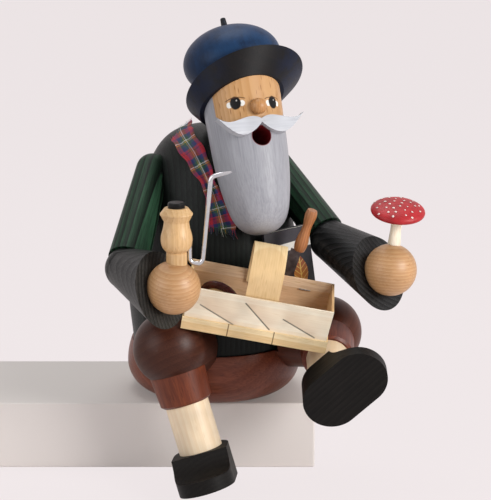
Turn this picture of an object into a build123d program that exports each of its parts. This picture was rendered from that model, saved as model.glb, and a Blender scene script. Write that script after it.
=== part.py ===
"""Edge-sitting incense smoker: a mushroom gatherer of turned wood, in millimetres.

+Z is up, the origin is the centre of the seat's flat underside, and -Y points over the shelf's front edge.
The figure faces 25 degrees from -Y towards +X. Right and left are the figure's own.
"""

import os
from math import atan2, cos, degrees, hypot, radians, sin, sqrt

from build123d import *

os.makedirs("parts", exist_ok=True)

# Fits
glue_gap = 0.1  # between glued faces and round dowels
lift_gap = 0.4  # between the jacket's bore and the spigot, and beside the lifting jacket
pole_flat = 0.8  # radius of the small flat left where a turned form closes on its axis
dowel_radius = 4.0
dowel_depth = 9.0  # into each of the two pieces

# Seat, with the spigot that carries the jacket
seat_radius = 62.0
seat_foot_radius = 40.0
seat_belly_height = 21.0
seat_top_radius = 59.0
seat_height = 37.5
spigot_radius = 43.5
spigot_height = 8.0

# Incense plate
plate_radius = 15.0
plate_thickness = 0.8
plate_rim = 2.5
screw_radius = 1.5
screw_head_radius = 3.0
screw_head_height = 1.6
screw_length = 11.0

# Pose of the figure
facing = 25.0
thigh_spread = 44.5
knee_reach = 85.0
knee_height = {"right": 50.5, "left": 48.5}
shin_direction = {"right": Vector(0.285, -0.13, -0.952), "left": Vector(0.01, -0.97, -0.24)}
toe_direction = {"right": Vector(-0.06, -0.99, 0.1), "left": Vector(0.713, -0.203, 0.671)}

# Legs
thigh_hip_radius = 23.0
knee_radius = 25.5
hip_height = 42.0
hip_dowel_height = 30.0
cuff_top_radius = 20.5
cuff_end_radius = 17.8
cuff_end = 39.0  # from the knee's centre, along the shin
cuff_round = 1.6
stocking_radius = 15.0
stocking_socket = 5.0
shin_length = 73.0  # from the knee's centre to the shoe
shoe_length = 63.0
shoe_width = 39.0
shoe_height = 23.0
shoe_toe_height = 9.5
shoe_instep_start = 17.0  # in front of the ankle's axis
shoe_instep_radius = 19.0

# Jacket
jacket_base_radius = 57.5
jacket_belly_radius = 61.2
jacket_belly_height = 79.0
jacket_chest_radius = 52.5
jacket_chest_height = 142.0
jacket_shoulder_radius = 40.5
jacket_shoulder_height = 174.0
jacket_top = 192.5
chamber_shoulder = 118.0
chamber_top = 172.0
air_hole_radius = 4.0
air_hole_height = 58.0

# Head: places are measured down the head's axis from eye level
head_centre = Vector(20.3, -43.0, 215.6)
head_axis = Vector(0.158, -0.34, -0.927).normalized()
head_facing = 22.0
head_radius = 27.0
head_crown = 40.0
beard_radius = 22.0
beard_waist = 70.0
beard_length = 93.5
mouth_radius = 6.7
mouth_place = 30.8
mouth_depth = 34.0
nose_radius = 5.4
nose_place = 11.3
nose_peg_radius = 1.8
nose_peg_depth = 6.0
moustache_place = 20.0
moustache_thickness = 3.4
moustache_reach = 31.0
moustache_lobe = 15.0
moustache_drop = 10.8
moustache_tip_rise = 2.2
neck_place = 37.0
neck_radius = 6.5
neck_bore = 4.5
neck_start = 6.0
neck_length = 42.0

# Cap, square to its own axis, which leans back
cap_axis = Vector(-0.33, 0.64, 0.69).normalized()
cap_place = 1.8
brim_base_radius = 30.4
brim_rim_radius = 42.4
brim_height = 14.4
brim_forward = Vector(6.6, 2.4, 0.9)
brim_floor = 4.0
brim_wall = 2.6
crown_axis = Vector(-0.22, 0.26, 0.94).normalized()
crown_offset = Vector(-6.8, 16.6, 27.0)  # of the crown's centre from the brim's
crown_radius = 34.0
crown_half_height = 24.3
crown_foot_radius = 18.0
crown_foot_height = 24.0
cap_stem_radius = 2.2
cap_stem_length = 9.5
cap_stem_depth = 4.0

# Arms
shoulder_reach = 46.5
shoulder_height = 163.0
shoulder_radius = 11.5
upper_arm_radius = 14.0
upper_arm_stop = 8.0  # before the elbow's centre
elbow = {"right": Vector(-57.5, -85.0, 107.5), "left": Vector(81.9, -36.0, 116.2)}
elbow_radius = 14.3
hand = {"right": Vector(-24.1, -125.0, 104.1), "left": Vector(121.6, -75.0, 104.2)}
hand_radius = 17.8
sleeve_normal = {"right": Vector(0.80, -0.52, 0.29), "left": Vector(0.69, -0.62, 0.37)}
sleeve_radius = 26.0
hand_inset = 11.0  # hand's centre in front of the sleeve's end face

# Pipe, standing on the right hand
pipe_base_radius = 6.9
pipe_base_height = 7.5
pipe_groove = 0.6
pipe_belly_radius = 10.4
pipe_belly_height = 16.4
pipe_neck_radius = 8.2
pipe_neck_height = 27.6
pipe_collar_radius = 10.8
pipe_collar_height = 32.6
pipe_collar_edge = 0.9  # half height of its rounded edge
pipe_lip_radius = 7.8
pipe_height = 36.8
pipe_plug_radius = 5.6
pipe_plug_height = 3.6
pipe_plug_depth = 3.0
pipe_offset = Vector(2.2, 0.0, -1.2)  # of the bowl's foot from the top of the hand
pipe_wire_radius = 1.5
pipe_wire_offset = 8.6  # of the stem's first limb from the bowl's axis
pipe_bend_radius = 3.8
pipe_bend_drop = 0.4  # of the lower bend under the bowl's foot
pipe_limb_foot = 16.8  # from the bowl's axis
pipe_limb_top = (22.6, 57.0)  # from the bowl's axis and foot
pipe_tip = (36.0, 60.8)
pipe_taper = 8.0  # length of the flattened tip
pipe_tip_thickness = 1.2

# Fly agaric, standing on the left hand
agaric_lean = Vector(0.1, 0.04, 1.0).normalized()
agaric_offset = Vector(2.0, 1.0, 0.0)  # from the hand's centre
agaric_stem_radius = 4.4
agaric_neck_radius = 3.7
agaric_stem_length = 20.5
agaric_cap_axis = Vector(0.06, -0.24, 0.97).normalized()  # the cap tips forwards on its stem
agaric_radius = 18.5
agaric_height = 8.4
agaric_lip = 2.4
agaric_socket = 3.0

# Basket: x along it, y to its back, z up from its floor
basket_roll = 10.5
basket_pitch = 15.0
basket_from_knee = Vector(4.2, 6.4)  # the right end of its rim from the right knee, along x and y
basket_sink = 1.6  # depth of the flat on the knee
basket_length = 96.5
basket_depth = 35.0
basket_top_length = 98.5
basket_top_depth = 41.0
basket_height = 33.0
basket_wall = 1.6
basket_floor_thickness = 1.8
band_height = 9.5
band_thickness = 1.0
slit_width = 0.9
slit_depth = 0.6
slits = (((-39.5, 21.0), (-15.0, 9.5)), ((-9.8, 28.5), (9.5, 10.5)), ((16.8, 21.0), (40.5, 10.5)))
handle_width = 22.5
handle_place = 0.5
handle_strip = 1.4
handle_straight = 12.0  # above the rim
handle_foot = 8.0  # below the rim
staple_place = (29.8, 26.0)
staple_length = 8.0
staple_wire = 0.8

# Boletes lying in the basket, knife and book behind it
bolete_radius = (14.5, 9.0)
bolete_height = (8.0, 6.0)
bolete_lip = 1.6
bolete_stem_radius = (5.3, 4.0)
bolete_stem_length = (16.0, 11.0)
bolete_place = (Vector(-27.0, 4.0, 14.7), Vector(-2.5, 0.0, 13.0))
bolete_axis = (Vector(0.32, 0.86, 0.40).normalized(), Vector(0, 0, 1))
knife_place = 14.6
knife_lean = 6.6
blade_foot = 12.0
blade_length = 41.0
blade_width = 7.4
blade_thickness = 1.2
blade_offset = 1.8
knife_handle_length = 30.5
knife_handle_radius = 4.4
knife_waist_radius = 3.1
knife_tang = 6.0
book_turn = 20.0
book_roll = 8.0
book_reach = 63.4
book_corner = 54.0  # of its outer lower corner, along the book's run
book_width = 33.0
book_height = 61.0
book_thickness = 5.0
book_board = 0.8
book_sink = 4.6  # of that corner under the top of the left knee
page_inset = 0.6

# Scarf, a ribbon laid on the jacket
scarf_thickness = 0.8
scarf_standoff = 0.6
scarf_knot = 3.2
scarf_path = (  # turn round the jacket, height, width, extra standoff
    (-66.0, 188.9, 18.5, 3.4),
    (-54.0, 187.6, 18.0, 0.9),
    (-37.0, 184.6, 16.5, 0.2),
    (-19.0, 177.4, 15.5, 0.0),
    (-9.0, 168.0, 13.5, 0.0),
    (-2.5, 158.2, 9.5, 0.6),
    (1.0, 150.5, 11.5, 0.2),
    (4.0, 142.0, 15.5, 0.0),
    (6.4, 133.2, 17.5, 0.5),
    (7.4, 126.0, 18.5, 1.6),
)

sides = ("right", "left")
z_axis = Vector(0, 0, 1)


def heading(degrees):
    """Level direction, turned from -Y towards +X."""
    return Vector(sin(radians(degrees)), -cos(radians(degrees)), 0)


def lathe(base, axis):
    """Plane for a turned outline: x is the radius and y runs along the axis from base."""
    side = axis.cross(z_axis)
    side = side.normalized() if side.length > 0.01 else Vector(1, 0, 0)
    return Plane(origin=base, x_dir=side, z_dir=side.cross(axis.normalized()))


def square_to(origin, normal):
    """Plane square to a direction, with its y axis kept as upright as it can be."""
    side = z_axis.cross(normal)
    side = side.normalized() if side.length > 0.01 else Vector(1, 0, 0)
    return Plane(origin=origin, x_dir=side, z_dir=normal)


def keep(builder, name):
    """Label a finished piece and write it as its own node."""
    builder.part.label = name
    export_step(builder.part, f"parts/{name}.step")


def dowel_seat(middle, axis):
    """Place of a dowel or its bore, centred on the joint."""
    return square_to(middle, axis).location


dowel_length = 2 * dowel_depth
bore_radius = dowel_radius + glue_gap
bore_length = dowel_length + 2 * glue_gap
thigh_heading = {"right": heading(facing - thigh_spread), "left": heading(facing + thigh_spread)}
knee = {side: thigh_heading[side] * knee_reach + z_axis * knee_height[side] for side in sides}
shin = {side: shin_direction[side].normalized() for side in sides}
ankle = {side: knee[side] + shin[side] * shin_length for side in sides}
shoulder_heading = {"right": heading(facing - 90), "left": heading(facing + 90)}
shoulder = {side: shoulder_heading[side] * shoulder_reach + z_axis * shoulder_height for side in sides}
upper_arm_axis = {side: (elbow[side] - shoulder[side]).normalized() for side in sides}
upper_arm_length = {side: (elbow[side] - shoulder[side]).length for side in sides}
wrist_axis = {side: sleeve_normal[side].normalized() for side in sides}
cuff_centre = {side: hand[side] - wrist_axis[side] * hand_inset for side in sides}
spigot_top = seat_height + spigot_height
jacket_bottom = seat_height + glue_gap
chamber_radius = spigot_radius + lift_gap
lift_radius = jacket_belly_radius + 2 * lift_gap

# Head directions: face_out leaves the face, face_side points to the figure's left
face_level = heading(head_facing)
face_out = (face_level - head_axis * face_level.dot(head_axis)).normalized()
face_side = face_out.cross(head_axis)
cap_base = head_centre + head_axis * cap_place
cap_plane = square_to(cap_base, cap_axis)


def down_the_head(place, outwards=0.0):
    """Point at a place on the head's axis, moved towards the face."""
    return head_centre + head_axis * place + face_out * outwards


hip_joint = {side: thigh_heading[side] * seat_radius + z_axis * hip_dowel_height for side in sides}
knee_joint = {side: knee[side] + shin[side] * knee_radius for side in sides}
knee_dowel_length = 2 * (cuff_end - stocking_socket - knee_radius)
elbow_joint = {side: elbow[side] - upper_arm_axis[side] * elbow_radius for side in sides}
wrist_joint = {side: hand[side] - wrist_axis[side] * hand_radius for side in sides}

# Basket frame, set down on the flat of the right knee
basket_x = Vector(cos(radians(basket_roll)), 0, -sin(radians(basket_roll)))
basket_back = Vector(0, cos(radians(basket_pitch)), sin(radians(basket_pitch)))
basket_y = (basket_back - basket_x * basket_back.dot(basket_x)).normalized()
basket_up = basket_x.cross(basket_y)
basket_origin = (
    knee["right"]
    + basket_up * (knee_radius - basket_sink)
    + basket_x * (basket_from_knee.X + basket_top_length / 2)
    + basket_y * basket_from_knee.Y
)
basket_plane = Plane(origin=basket_origin, x_dir=basket_x, z_dir=basket_up)
end_splay = (basket_top_length - basket_length) / 2 / basket_height
wall_splay = (basket_top_depth - basket_depth) / 2 / basket_height

# Outlines of the turned pieces, drawn into the open line builder.
# They are grown by a gap where they act as cutters.


def seat_outline(grow):
    """The seat's foot and side, up to its top edge, which is returned."""
    Line((0, -grow), (seat_foot_radius, -grow))
    side = EllipticalCenterArc(
        (seat_foot_radius, seat_belly_height),
        seat_radius - seat_foot_radius + grow,
        seat_belly_height + grow,
        start_angle=270,
        arc_size=90,
    )
    return TangentArc(side @ 1, (seat_top_radius + grow, seat_height + grow), tangent=(0, 1)) @ 1


def jacket_outline(grow):
    """The jacket's outer side, from its lower edge to the pole."""
    return Spline(
        (jacket_base_radius + grow, jacket_bottom - grow),
        (jacket_belly_radius + grow, jacket_belly_height),
        (jacket_chest_radius + grow, jacket_chest_height),
        (jacket_shoulder_radius + grow, jacket_shoulder_height + grow),
        (pole_flat, jacket_top + grow),
        tangents=((0.12, 1), (-1, 0)),
    )


def head_outline(grow):
    """The head with its beard, closed along the axis."""
    Polyline((0, -head_crown), (head_radius + grow, -head_crown), (head_radius + grow, 0))
    Spline(
        (head_radius + grow, 0),
        (beard_radius + grow, beard_waist),
        (pole_flat, beard_length + grow),
        tangents=((-0.03, 1), (-1, 0)),
    )
    Polyline((pole_flat, beard_length + grow), (0, beard_length + grow), (0, -head_crown))


def bowl_belly(grow):
    """The pipe bowl's belly, from its groove to its neck."""
    Spline(
        (pipe_base_radius - pipe_groove + grow, pipe_base_height),
        (pipe_belly_radius + grow, pipe_belly_height),
        (pipe_neck_radius + grow, pipe_neck_height),
        tangents=((1, 0.5), (-0.1, 1)),
    )


# Rooms: the shapes of carrying pieces, a little larger, that are cut from what sits against them

with BuildPart() as seat_room:
    with BuildSketch(Plane.XZ):
        with BuildLine():
            seat_edge = seat_outline(glue_gap)
            Polyline(seat_edge, (0, seat_height + glue_gap), (0, -glue_gap))
        make_face()
    revolve(axis=Axis.Z)

with BuildPart() as jacket_room:
    with BuildSketch(Plane.XZ):
        with BuildLine():
            jacket_outline(glue_gap)
            Polyline(
                (pole_flat, jacket_top + glue_gap),
                (0, jacket_top + glue_gap),
                (0, jacket_bottom - glue_gap),
                (jacket_base_radius + glue_gap, jacket_bottom - glue_gap),
            )
        make_face()
    revolve(axis=Axis.Z)

head_lathe = lathe(head_centre, head_axis)
with BuildPart() as head_room:
    with BuildSketch(head_lathe):
        with BuildLine():
            head_outline(glue_gap)
        make_face()
    revolve(axis=Axis(head_centre, head_axis))

with BuildPart() as basket_room:
    band = band_thickness + glue_gap
    with BuildSketch(basket_plane.offset(-glue_gap)):
        Rectangle(basket_length + 2 * band, basket_depth + 2 * band)
    with BuildSketch(basket_plane.offset(basket_height)):
        Rectangle(basket_top_length + 2 * band, basket_top_depth + 2 * band)
    loft()

# Seat

with BuildPart() as seat:
    with BuildSketch(Plane.XZ):
        with BuildLine():
            seat_edge = seat_outline(0)
            Polyline(
                seat_edge,
                (spigot_radius, seat_height),
                (spigot_radius, spigot_top - 1),
                (spigot_radius - 1, spigot_top),
                (0, spigot_top),
                (0, 0),
            )
        make_face()
    revolve(axis=Axis.Z)
    for side in sides:
        with Locations(dowel_seat(hip_joint[side], thigh_heading[side])):
            Cylinder(bore_radius, bore_length, mode=Mode.SUBTRACT)
    with Locations((0, 0, spigot_top)):
        Cylinder(
            screw_radius + glue_gap,
            screw_length,
            align=(Align.CENTER, Align.CENTER, Align.MAX),
            mode=Mode.SUBTRACT,
        )
keep(seat, "seat")

with BuildPart() as incense_plate:
    with BuildSketch(Plane.XZ):
        with BuildLine():
            Polyline(
                (screw_radius + glue_gap, spigot_top),
                (plate_radius, spigot_top),
                (plate_radius + plate_rim, spigot_top + plate_rim),
                (plate_radius + plate_rim - plate_thickness, spigot_top + plate_rim),
                (plate_radius - plate_thickness / 2, spigot_top + plate_thickness),
                (screw_radius + glue_gap, spigot_top + plate_thickness),
                close=True,
            )
        make_face()
    revolve(axis=Axis.Z)
keep(incense_plate, "incense_plate")

with BuildPart() as plate_screw:
    with BuildSketch(Plane.XZ):
        with BuildLine():
            seat_line = spigot_top + plate_thickness
            Polyline(
                (0, seat_line - screw_length + 1),
                (screw_radius, seat_line - screw_length + 2),
                (screw_radius, seat_line),
                (screw_head_radius, seat_line),
            )
            screw_top = seat_line + screw_head_height
            TangentArc((screw_head_radius, seat_line), (pole_flat, screw_top), tangent=(0, 1))
            Polyline((pole_flat, screw_top), (0, screw_top), (0, seat_line - screw_length + 1))
        make_face()
    revolve(axis=Axis.Z)
keep(plate_screw, "plate_screw")

# Legs

for side in sides:
    hip = thigh_heading[side] * (seat_radius / 2) + z_axis * hip_height
    thigh_axis = (knee[side] - hip).normalized()
    thigh_length = (knee[side] - hip).length
    with BuildPart() as thigh_room:
        with BuildSketch(lathe(hip, thigh_axis)):
            with BuildLine():
                Polyline(
                    (0, thigh_length + knee_radius + glue_gap),
                    (0, 0),
                    (thigh_hip_radius + glue_gap, 0),
                    (knee_radius + glue_gap, thigh_length),
                )
                CenterArc((0, thigh_length), knee_radius + glue_gap, 0, 90)
            make_face()
        revolve(axis=Axis(hip, thigh_axis))

    with BuildPart() as thigh:
        with BuildSketch(lathe(hip, thigh_axis)):
            with BuildLine():
                Polyline(
                    (0, thigh_length + knee_radius),
                    (0, 0),
                    (thigh_hip_radius, 0),
                    (knee_radius, thigh_length),
                )
                CenterArc((0, thigh_length), knee_radius, 0, 90)
            make_face()
        revolve(axis=Axis(hip, thigh_axis))
        add(seat_room.part, mode=Mode.SUBTRACT)
        with Locations((0, 0, seat_height - lift_gap)):
            Cylinder(
                lift_radius,
                jacket_top,
                align=(Align.CENTER, Align.CENTER, Align.MIN),
                mode=Mode.SUBTRACT,
            )
        add(basket_room.part, mode=Mode.SUBTRACT)
        with Locations(dowel_seat(hip_joint[side], thigh_heading[side])):
            Cylinder(bore_radius, bore_length, mode=Mode.SUBTRACT)
        with Locations(dowel_seat(knee_joint[side], shin[side])):
            Cylinder(bore_radius, knee_dowel_length + 2 * glue_gap, mode=Mode.SUBTRACT)
    keep(thigh, f"{side}_thigh")

    with BuildPart() as cuff:
        with BuildSketch(lathe(knee[side], shin[side])):
            with BuildLine():
                socket_floor = cuff_end - stocking_socket
                Polyline(
                    (0, 0),
                    (cuff_top_radius, 0),
                    (cuff_end_radius + cuff_round * 0.1, cuff_end - cuff_round),
                    (cuff_end_radius - cuff_round, cuff_end),
                    (stocking_radius + glue_gap, cuff_end),
                    (stocking_radius + glue_gap, socket_floor),
                    (0, socket_floor),
                    close=True,
                )
            make_face()
        revolve(axis=Axis(knee[side], shin[side]))
        add(thigh_room.part, mode=Mode.SUBTRACT)
        add(basket_room.part, mode=Mode.SUBTRACT)
        with Locations(dowel_seat(knee_joint[side], shin[side])):
            Cylinder(bore_radius, knee_dowel_length + 2 * glue_gap, mode=Mode.SUBTRACT)
    keep(cuff, f"{side}_knee_cuff")

    with BuildPart() as stocking:
        with BuildSketch(square_to(knee[side] + shin[side] * (socket_floor + glue_gap), shin[side])):
            Circle(stocking_radius)
        extrude(amount=shin_length - socket_floor - 2 * glue_gap)
        with Locations(dowel_seat(ankle[side], shin[side])):
            Cylinder(bore_radius, bore_length, mode=Mode.SUBTRACT)
    keep(stocking, f"{side}_stocking")

    toe = (toe_direction[side] - shin[side] * toe_direction[side].dot(shin[side])).normalized()
    with BuildPart() as shoe:
        top_plane = Plane(origin=ankle[side], x_dir=toe, z_dir=shin[side])
        with BuildSketch(top_plane):
            with Locations(((shoe_length - shoe_width) / 2, 0)):
                SlotOverall(shoe_length, shoe_width)
        extrude(amount=shoe_height)
        with BuildSketch(Plane(origin=ankle[side], x_dir=toe, z_dir=toe.cross(shin[side]))):
            with BuildLine():
                instep_drop = shoe_height - shoe_toe_height
                toe_end = shoe_length
                instep_run = sqrt(shoe_instep_radius**2 - (shoe_instep_radius - instep_drop) ** 2)
                Polyline((shoe_instep_start + instep_run, instep_drop), (toe_end, instep_drop), (toe_end, -1))
                Polyline((toe_end, -1), (shoe_instep_start, -1), (shoe_instep_start, 0))
                TangentArc(
                    (shoe_instep_start + instep_run, instep_drop),
                    (shoe_instep_start, 0),
                    tangent=(-1, 0),
                )
            make_face()
        extrude(amount=shoe_width, both=True, mode=Mode.SUBTRACT)
        with Locations(dowel_seat(ankle[side], shin[side])):
            Cylinder(bore_radius, bore_length, mode=Mode.SUBTRACT)
    keep(shoe, f"{side}_shoe")

with BuildPart() as hip_dowels:
    for side in sides:
        with Locations(dowel_seat(hip_joint[side], thigh_heading[side])):
            Cylinder(dowel_radius, dowel_length)
keep(hip_dowels, "hip_dowels")

with BuildPart() as knee_dowels:
    for side in sides:
        with Locations(dowel_seat(knee_joint[side], shin[side])):
            Cylinder(dowel_radius, knee_dowel_length - glue_gap)
keep(knee_dowels, "knee_dowels")

with BuildPart() as ankle_dowels:
    for side in sides:
        with Locations(dowel_seat(ankle[side], shin[side])):
            Cylinder(dowel_radius, dowel_length)
keep(ankle_dowels, "ankle_dowels")

# Jacket: a turned shell, scooped where the head leans against it

with BuildPart() as jacket:
    with BuildSketch(Plane.XZ):
        with BuildLine():
            jacket_outline(0)
            Polyline((pole_flat, jacket_top), (0, jacket_top), (0, chamber_top), (pole_flat, chamber_top))
            Spline(
                (pole_flat, chamber_top),
                (chamber_radius, chamber_shoulder),
                tangents=((1, 0), (0, -1)),
                tangent_scalars=(1.4, 1.4),
            )
            Polyline(
                (chamber_radius, chamber_shoulder),
                (chamber_radius, jacket_bottom),
                (jacket_base_radius, jacket_bottom),
            )
        make_face()
    revolve(axis=Axis.Z)
    add(head_room.part, mode=Mode.SUBTRACT)
    with Locations(square_to(down_the_head(neck_place), -face_out).location):
        Cylinder(
            neck_radius + glue_gap,
            neck_start + neck_length + neck_radius,
            align=(Align.CENTER, Align.CENTER, Align.MIN),
            mode=Mode.SUBTRACT,
        )
    with Locations(square_to((0, 0, air_hole_height), heading(facing + 180)).location):
        Cylinder(
            air_hole_radius,
            2 * jacket_belly_radius,
            align=(Align.CENTER, Align.CENTER, Align.MIN),
            mode=Mode.SUBTRACT,
        )
    for side in sides:
        with Locations(dowel_seat(shoulder[side], shoulder_heading[side])):
            Cylinder(bore_radius, bore_length, mode=Mode.SUBTRACT)
keep(jacket, "jacket")

with BuildPart() as neck_tube:
    with BuildSketch(square_to(down_the_head(neck_place, -neck_start), -face_out)):
        Circle(neck_radius)
        Circle(neck_bore, mode=Mode.SUBTRACT)
    extrude(amount=neck_length)
keep(neck_tube, "neck_tube")

# Head

with BuildPart() as head:
    with BuildSketch(head_lathe):
        with BuildLine():
            head_outline(0)
        make_face()
    revolve(axis=Axis(head_centre, head_axis))
    split(bisect_by=cap_plane, keep=Keep.BOTTOM)
    with Locations(square_to(down_the_head(mouth_place, head_radius + 1), -face_out).location):
        Cylinder(
            mouth_radius,
            mouth_depth,
            align=(Align.CENTER, Align.CENTER, Align.MIN),
            mode=Mode.SUBTRACT,
        )
    with Locations(square_to(down_the_head(neck_place, -neck_start + glue_gap), -face_out).location):
        Cylinder(
            neck_radius + glue_gap,
            neck_length,
            align=(Align.CENTER, Align.CENTER, Align.MIN),
            mode=Mode.SUBTRACT,
        )
    with Locations(square_to(down_the_head(neck_place), -face_out).location):
        Cylinder(
            neck_bore,
            neck_length,
            align=(Align.CENTER, Align.CENTER, Align.MIN),
            mode=Mode.SUBTRACT,
        )
    with Locations(square_to(down_the_head(nose_place, head_radius + 1), -face_out).location):
        Cylinder(
            nose_peg_radius + glue_gap,
            nose_peg_depth + 1,
            align=(Align.CENTER, Align.CENTER, Align.MIN),
            mode=Mode.SUBTRACT,
        )
    with Locations(dowel_seat(cap_base, cap_axis)):
        Cylinder(bore_radius, bore_length, mode=Mode.SUBTRACT)
keep(head, "head")

with BuildPart() as nose:
    with Locations(down_the_head(nose_place, head_radius + nose_radius / 3)):
        Sphere(nose_radius)
    add(head_room.part, mode=Mode.SUBTRACT)
    with BuildSketch(square_to(down_the_head(nose_place, head_radius + nose_radius / 3), -face_out)):
        Circle(nose_peg_radius)
    extrude(amount=nose_peg_depth + nose_radius / 3 - 1)
keep(nose, "nose")

moustache_plane = Plane(
    origin=down_the_head(moustache_place, head_radius - moustache_thickness),
    x_dir=face_side,
    z_dir=face_out,
)
with BuildPart() as moustache:
    with BuildSketch(moustache_plane):
        with BuildLine():
            Spline(
                (0, 0),
                (-moustache_lobe / 2, 2.0),
                (-moustache_lobe * 1.35, -0.6),
                (-moustache_reach, moustache_tip_rise),
            )
            Spline(
                (-moustache_reach, moustache_tip_rise),
                (-moustache_lobe * 1.55, -moustache_drop * 0.52),
                (-moustache_lobe, -moustache_drop * 0.93),
                (-moustache_lobe * 0.36, -moustache_drop * 0.66),
                (0, -2.2),
            )
            Line((0, -2.2), (0, 0))
        make_face()
        mirror(about=Plane.YZ)
    extrude(amount=2 * moustache_thickness)
    add(head_room.part, mode=Mode.SUBTRACT)
keep(moustache, "moustache")

# Cap

with BuildPart() as cap_brim:
    rim_centre = cap_base + cap_axis * brim_height + brim_forward
    rim_plane = square_to(rim_centre, cap_axis)
    lean = brim_forward / brim_height
    flare = (brim_rim_radius - brim_base_radius) / brim_height
    with BuildSketch(cap_plane):
        Circle(brim_base_radius)
    with BuildSketch(rim_plane):
        Circle(brim_rim_radius)
    loft()
    with BuildSketch(square_to(cap_base + (cap_axis + lean) * brim_floor, cap_axis)):
        Circle(brim_base_radius + flare * brim_floor - brim_wall)
    with BuildSketch(square_to(rim_centre + cap_axis + lean, cap_axis)):
        Circle(brim_rim_radius + flare - brim_wall)
    loft(mode=Mode.SUBTRACT)
    with Locations(dowel_seat(cap_base, cap_axis)):
        Cylinder(bore_radius, bore_length, mode=Mode.SUBTRACT)
keep(cap_brim, "cap_brim")

crown_centre = cap_base + crown_offset
crown_lathe = lathe(crown_centre, crown_axis)
with BuildPart() as cap_crown:
    with BuildSketch(crown_lathe):
        Ellipse(crown_radius, crown_half_height)
        with BuildSketch(mode=Mode.INTERSECT):
            Rectangle(2 * crown_radius, 4 * crown_half_height, align=(Align.MIN, Align.CENTER))
    revolve(axis=Axis(crown_centre, crown_axis))
    with Locations(cap_plane.offset(brim_floor).location):
        Cylinder(crown_foot_radius, crown_foot_height, align=(Align.CENTER, Align.CENTER, Align.MIN))
    add(cap_brim.part, mode=Mode.SUBTRACT)
    with Locations(dowel_seat(cap_base, cap_axis)):
        Cylinder(bore_radius, bore_length, mode=Mode.SUBTRACT)
    stem_seat = crown_centre + crown_axis * (crown_half_height - cap_stem_depth)
    with Locations(square_to(stem_seat, crown_axis).location):
        Cylinder(
            cap_stem_radius + glue_gap,
            cap_stem_length,
            align=(Align.CENTER, Align.CENTER, Align.MIN),
            mode=Mode.SUBTRACT,
        )
keep(cap_crown, "cap_crown")

with BuildPart() as cap_stem:
    with BuildSketch(crown_lathe):
        with BuildLine():
            stem_foot = crown_half_height - cap_stem_depth + glue_gap
            stem_end = stem_foot + cap_stem_length
            stem_round = (cap_stem_radius * 0.85, stem_end - cap_stem_radius / 2)
            Polyline(
                (pole_flat, stem_end),
                (0, stem_end),
                (0, stem_foot),
                (cap_stem_radius, stem_foot),
                (cap_stem_radius, crown_half_height),
                stem_round,
            )
            TangentArc(stem_round, (pole_flat, stem_end), tangent=(0, 1))
        make_face()
    revolve(axis=Axis(crown_centre, crown_axis))
keep(cap_stem, "cap_stem")

with BuildPart() as cap_dowel:
    with Locations(dowel_seat(cap_base, cap_axis)):
        Cylinder(dowel_radius, dowel_length)
keep(cap_dowel, "cap_dowel")

# Arms

for side in sides:
    with BuildPart() as hand_ball:
        with Locations(hand[side]):
            Sphere(hand_radius)
        with Locations(dowel_seat(wrist_joint[side], wrist_axis[side])):
            Cylinder(bore_radius, bore_length, mode=Mode.SUBTRACT)
    keep(hand_ball, f"{side}_hand")

    with BuildPart() as sleeve:
        sleeve_run = (cuff_centre[side] - elbow[side]).normalized()
        with BuildSketch(square_to(elbow[side], sleeve_run)):
            Circle(elbow_radius)
        with BuildSketch(square_to(cuff_centre[side], wrist_axis[side])):
            Circle(sleeve_radius)
        loft()
        with Locations(elbow[side]):
            Sphere(elbow_radius)
        with Locations(hand[side]):
            Sphere(hand_radius + glue_gap, mode=Mode.SUBTRACT)
        for joint, axis in ((wrist_joint, wrist_axis), (elbow_joint, upper_arm_axis)):
            with Locations(dowel_seat(joint[side], axis[side])):
                Cylinder(bore_radius, bore_length, mode=Mode.SUBTRACT)
    keep(sleeve, f"{side}_sleeve")

    with BuildPart() as upper_arm:
        with BuildSketch(lathe(shoulder[side], upper_arm_axis[side])):
            with BuildLine():
                arm_end = upper_arm_length[side] - upper_arm_stop
                Polyline((0, -shoulder_radius), (0, arm_end), (upper_arm_radius, arm_end))
                Line((upper_arm_radius, arm_end), (shoulder_radius, 0))
                CenterArc((0, 0), shoulder_radius, 0, -90)
            make_face()
        revolve(axis=Axis(shoulder[side], upper_arm_axis[side]))
        add(jacket_room.part, mode=Mode.SUBTRACT)
        add(sleeve.part, mode=Mode.SUBTRACT)
        with Locations(elbow[side]):
            Sphere(elbow_radius + glue_gap, mode=Mode.SUBTRACT)
        for joint, axis in ((shoulder, shoulder_heading), (elbow_joint, upper_arm_axis)):
            with Locations(dowel_seat(joint[side], axis[side])):
                Cylinder(bore_radius, bore_length, mode=Mode.SUBTRACT)
    keep(upper_arm, f"{side}_upper_arm")

with BuildPart() as shoulder_dowels:
    for side in sides:
        with Locations(dowel_seat(shoulder[side], shoulder_heading[side])):
            Cylinder(dowel_radius, dowel_length)
keep(shoulder_dowels, "shoulder_dowels")

with BuildPart() as elbow_dowels:
    for side in sides:
        with Locations(dowel_seat(elbow_joint[side], upper_arm_axis[side])):
            Cylinder(dowel_radius, dowel_length)
keep(elbow_dowels, "elbow_dowels")

with BuildPart() as wrist_dowels:
    for side in sides:
        with Locations(dowel_seat(wrist_joint[side], wrist_axis[side])):
            Cylinder(dowel_radius, dowel_length)
keep(wrist_dowels, "wrist_dowels")

# Pipe on the right hand

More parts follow.
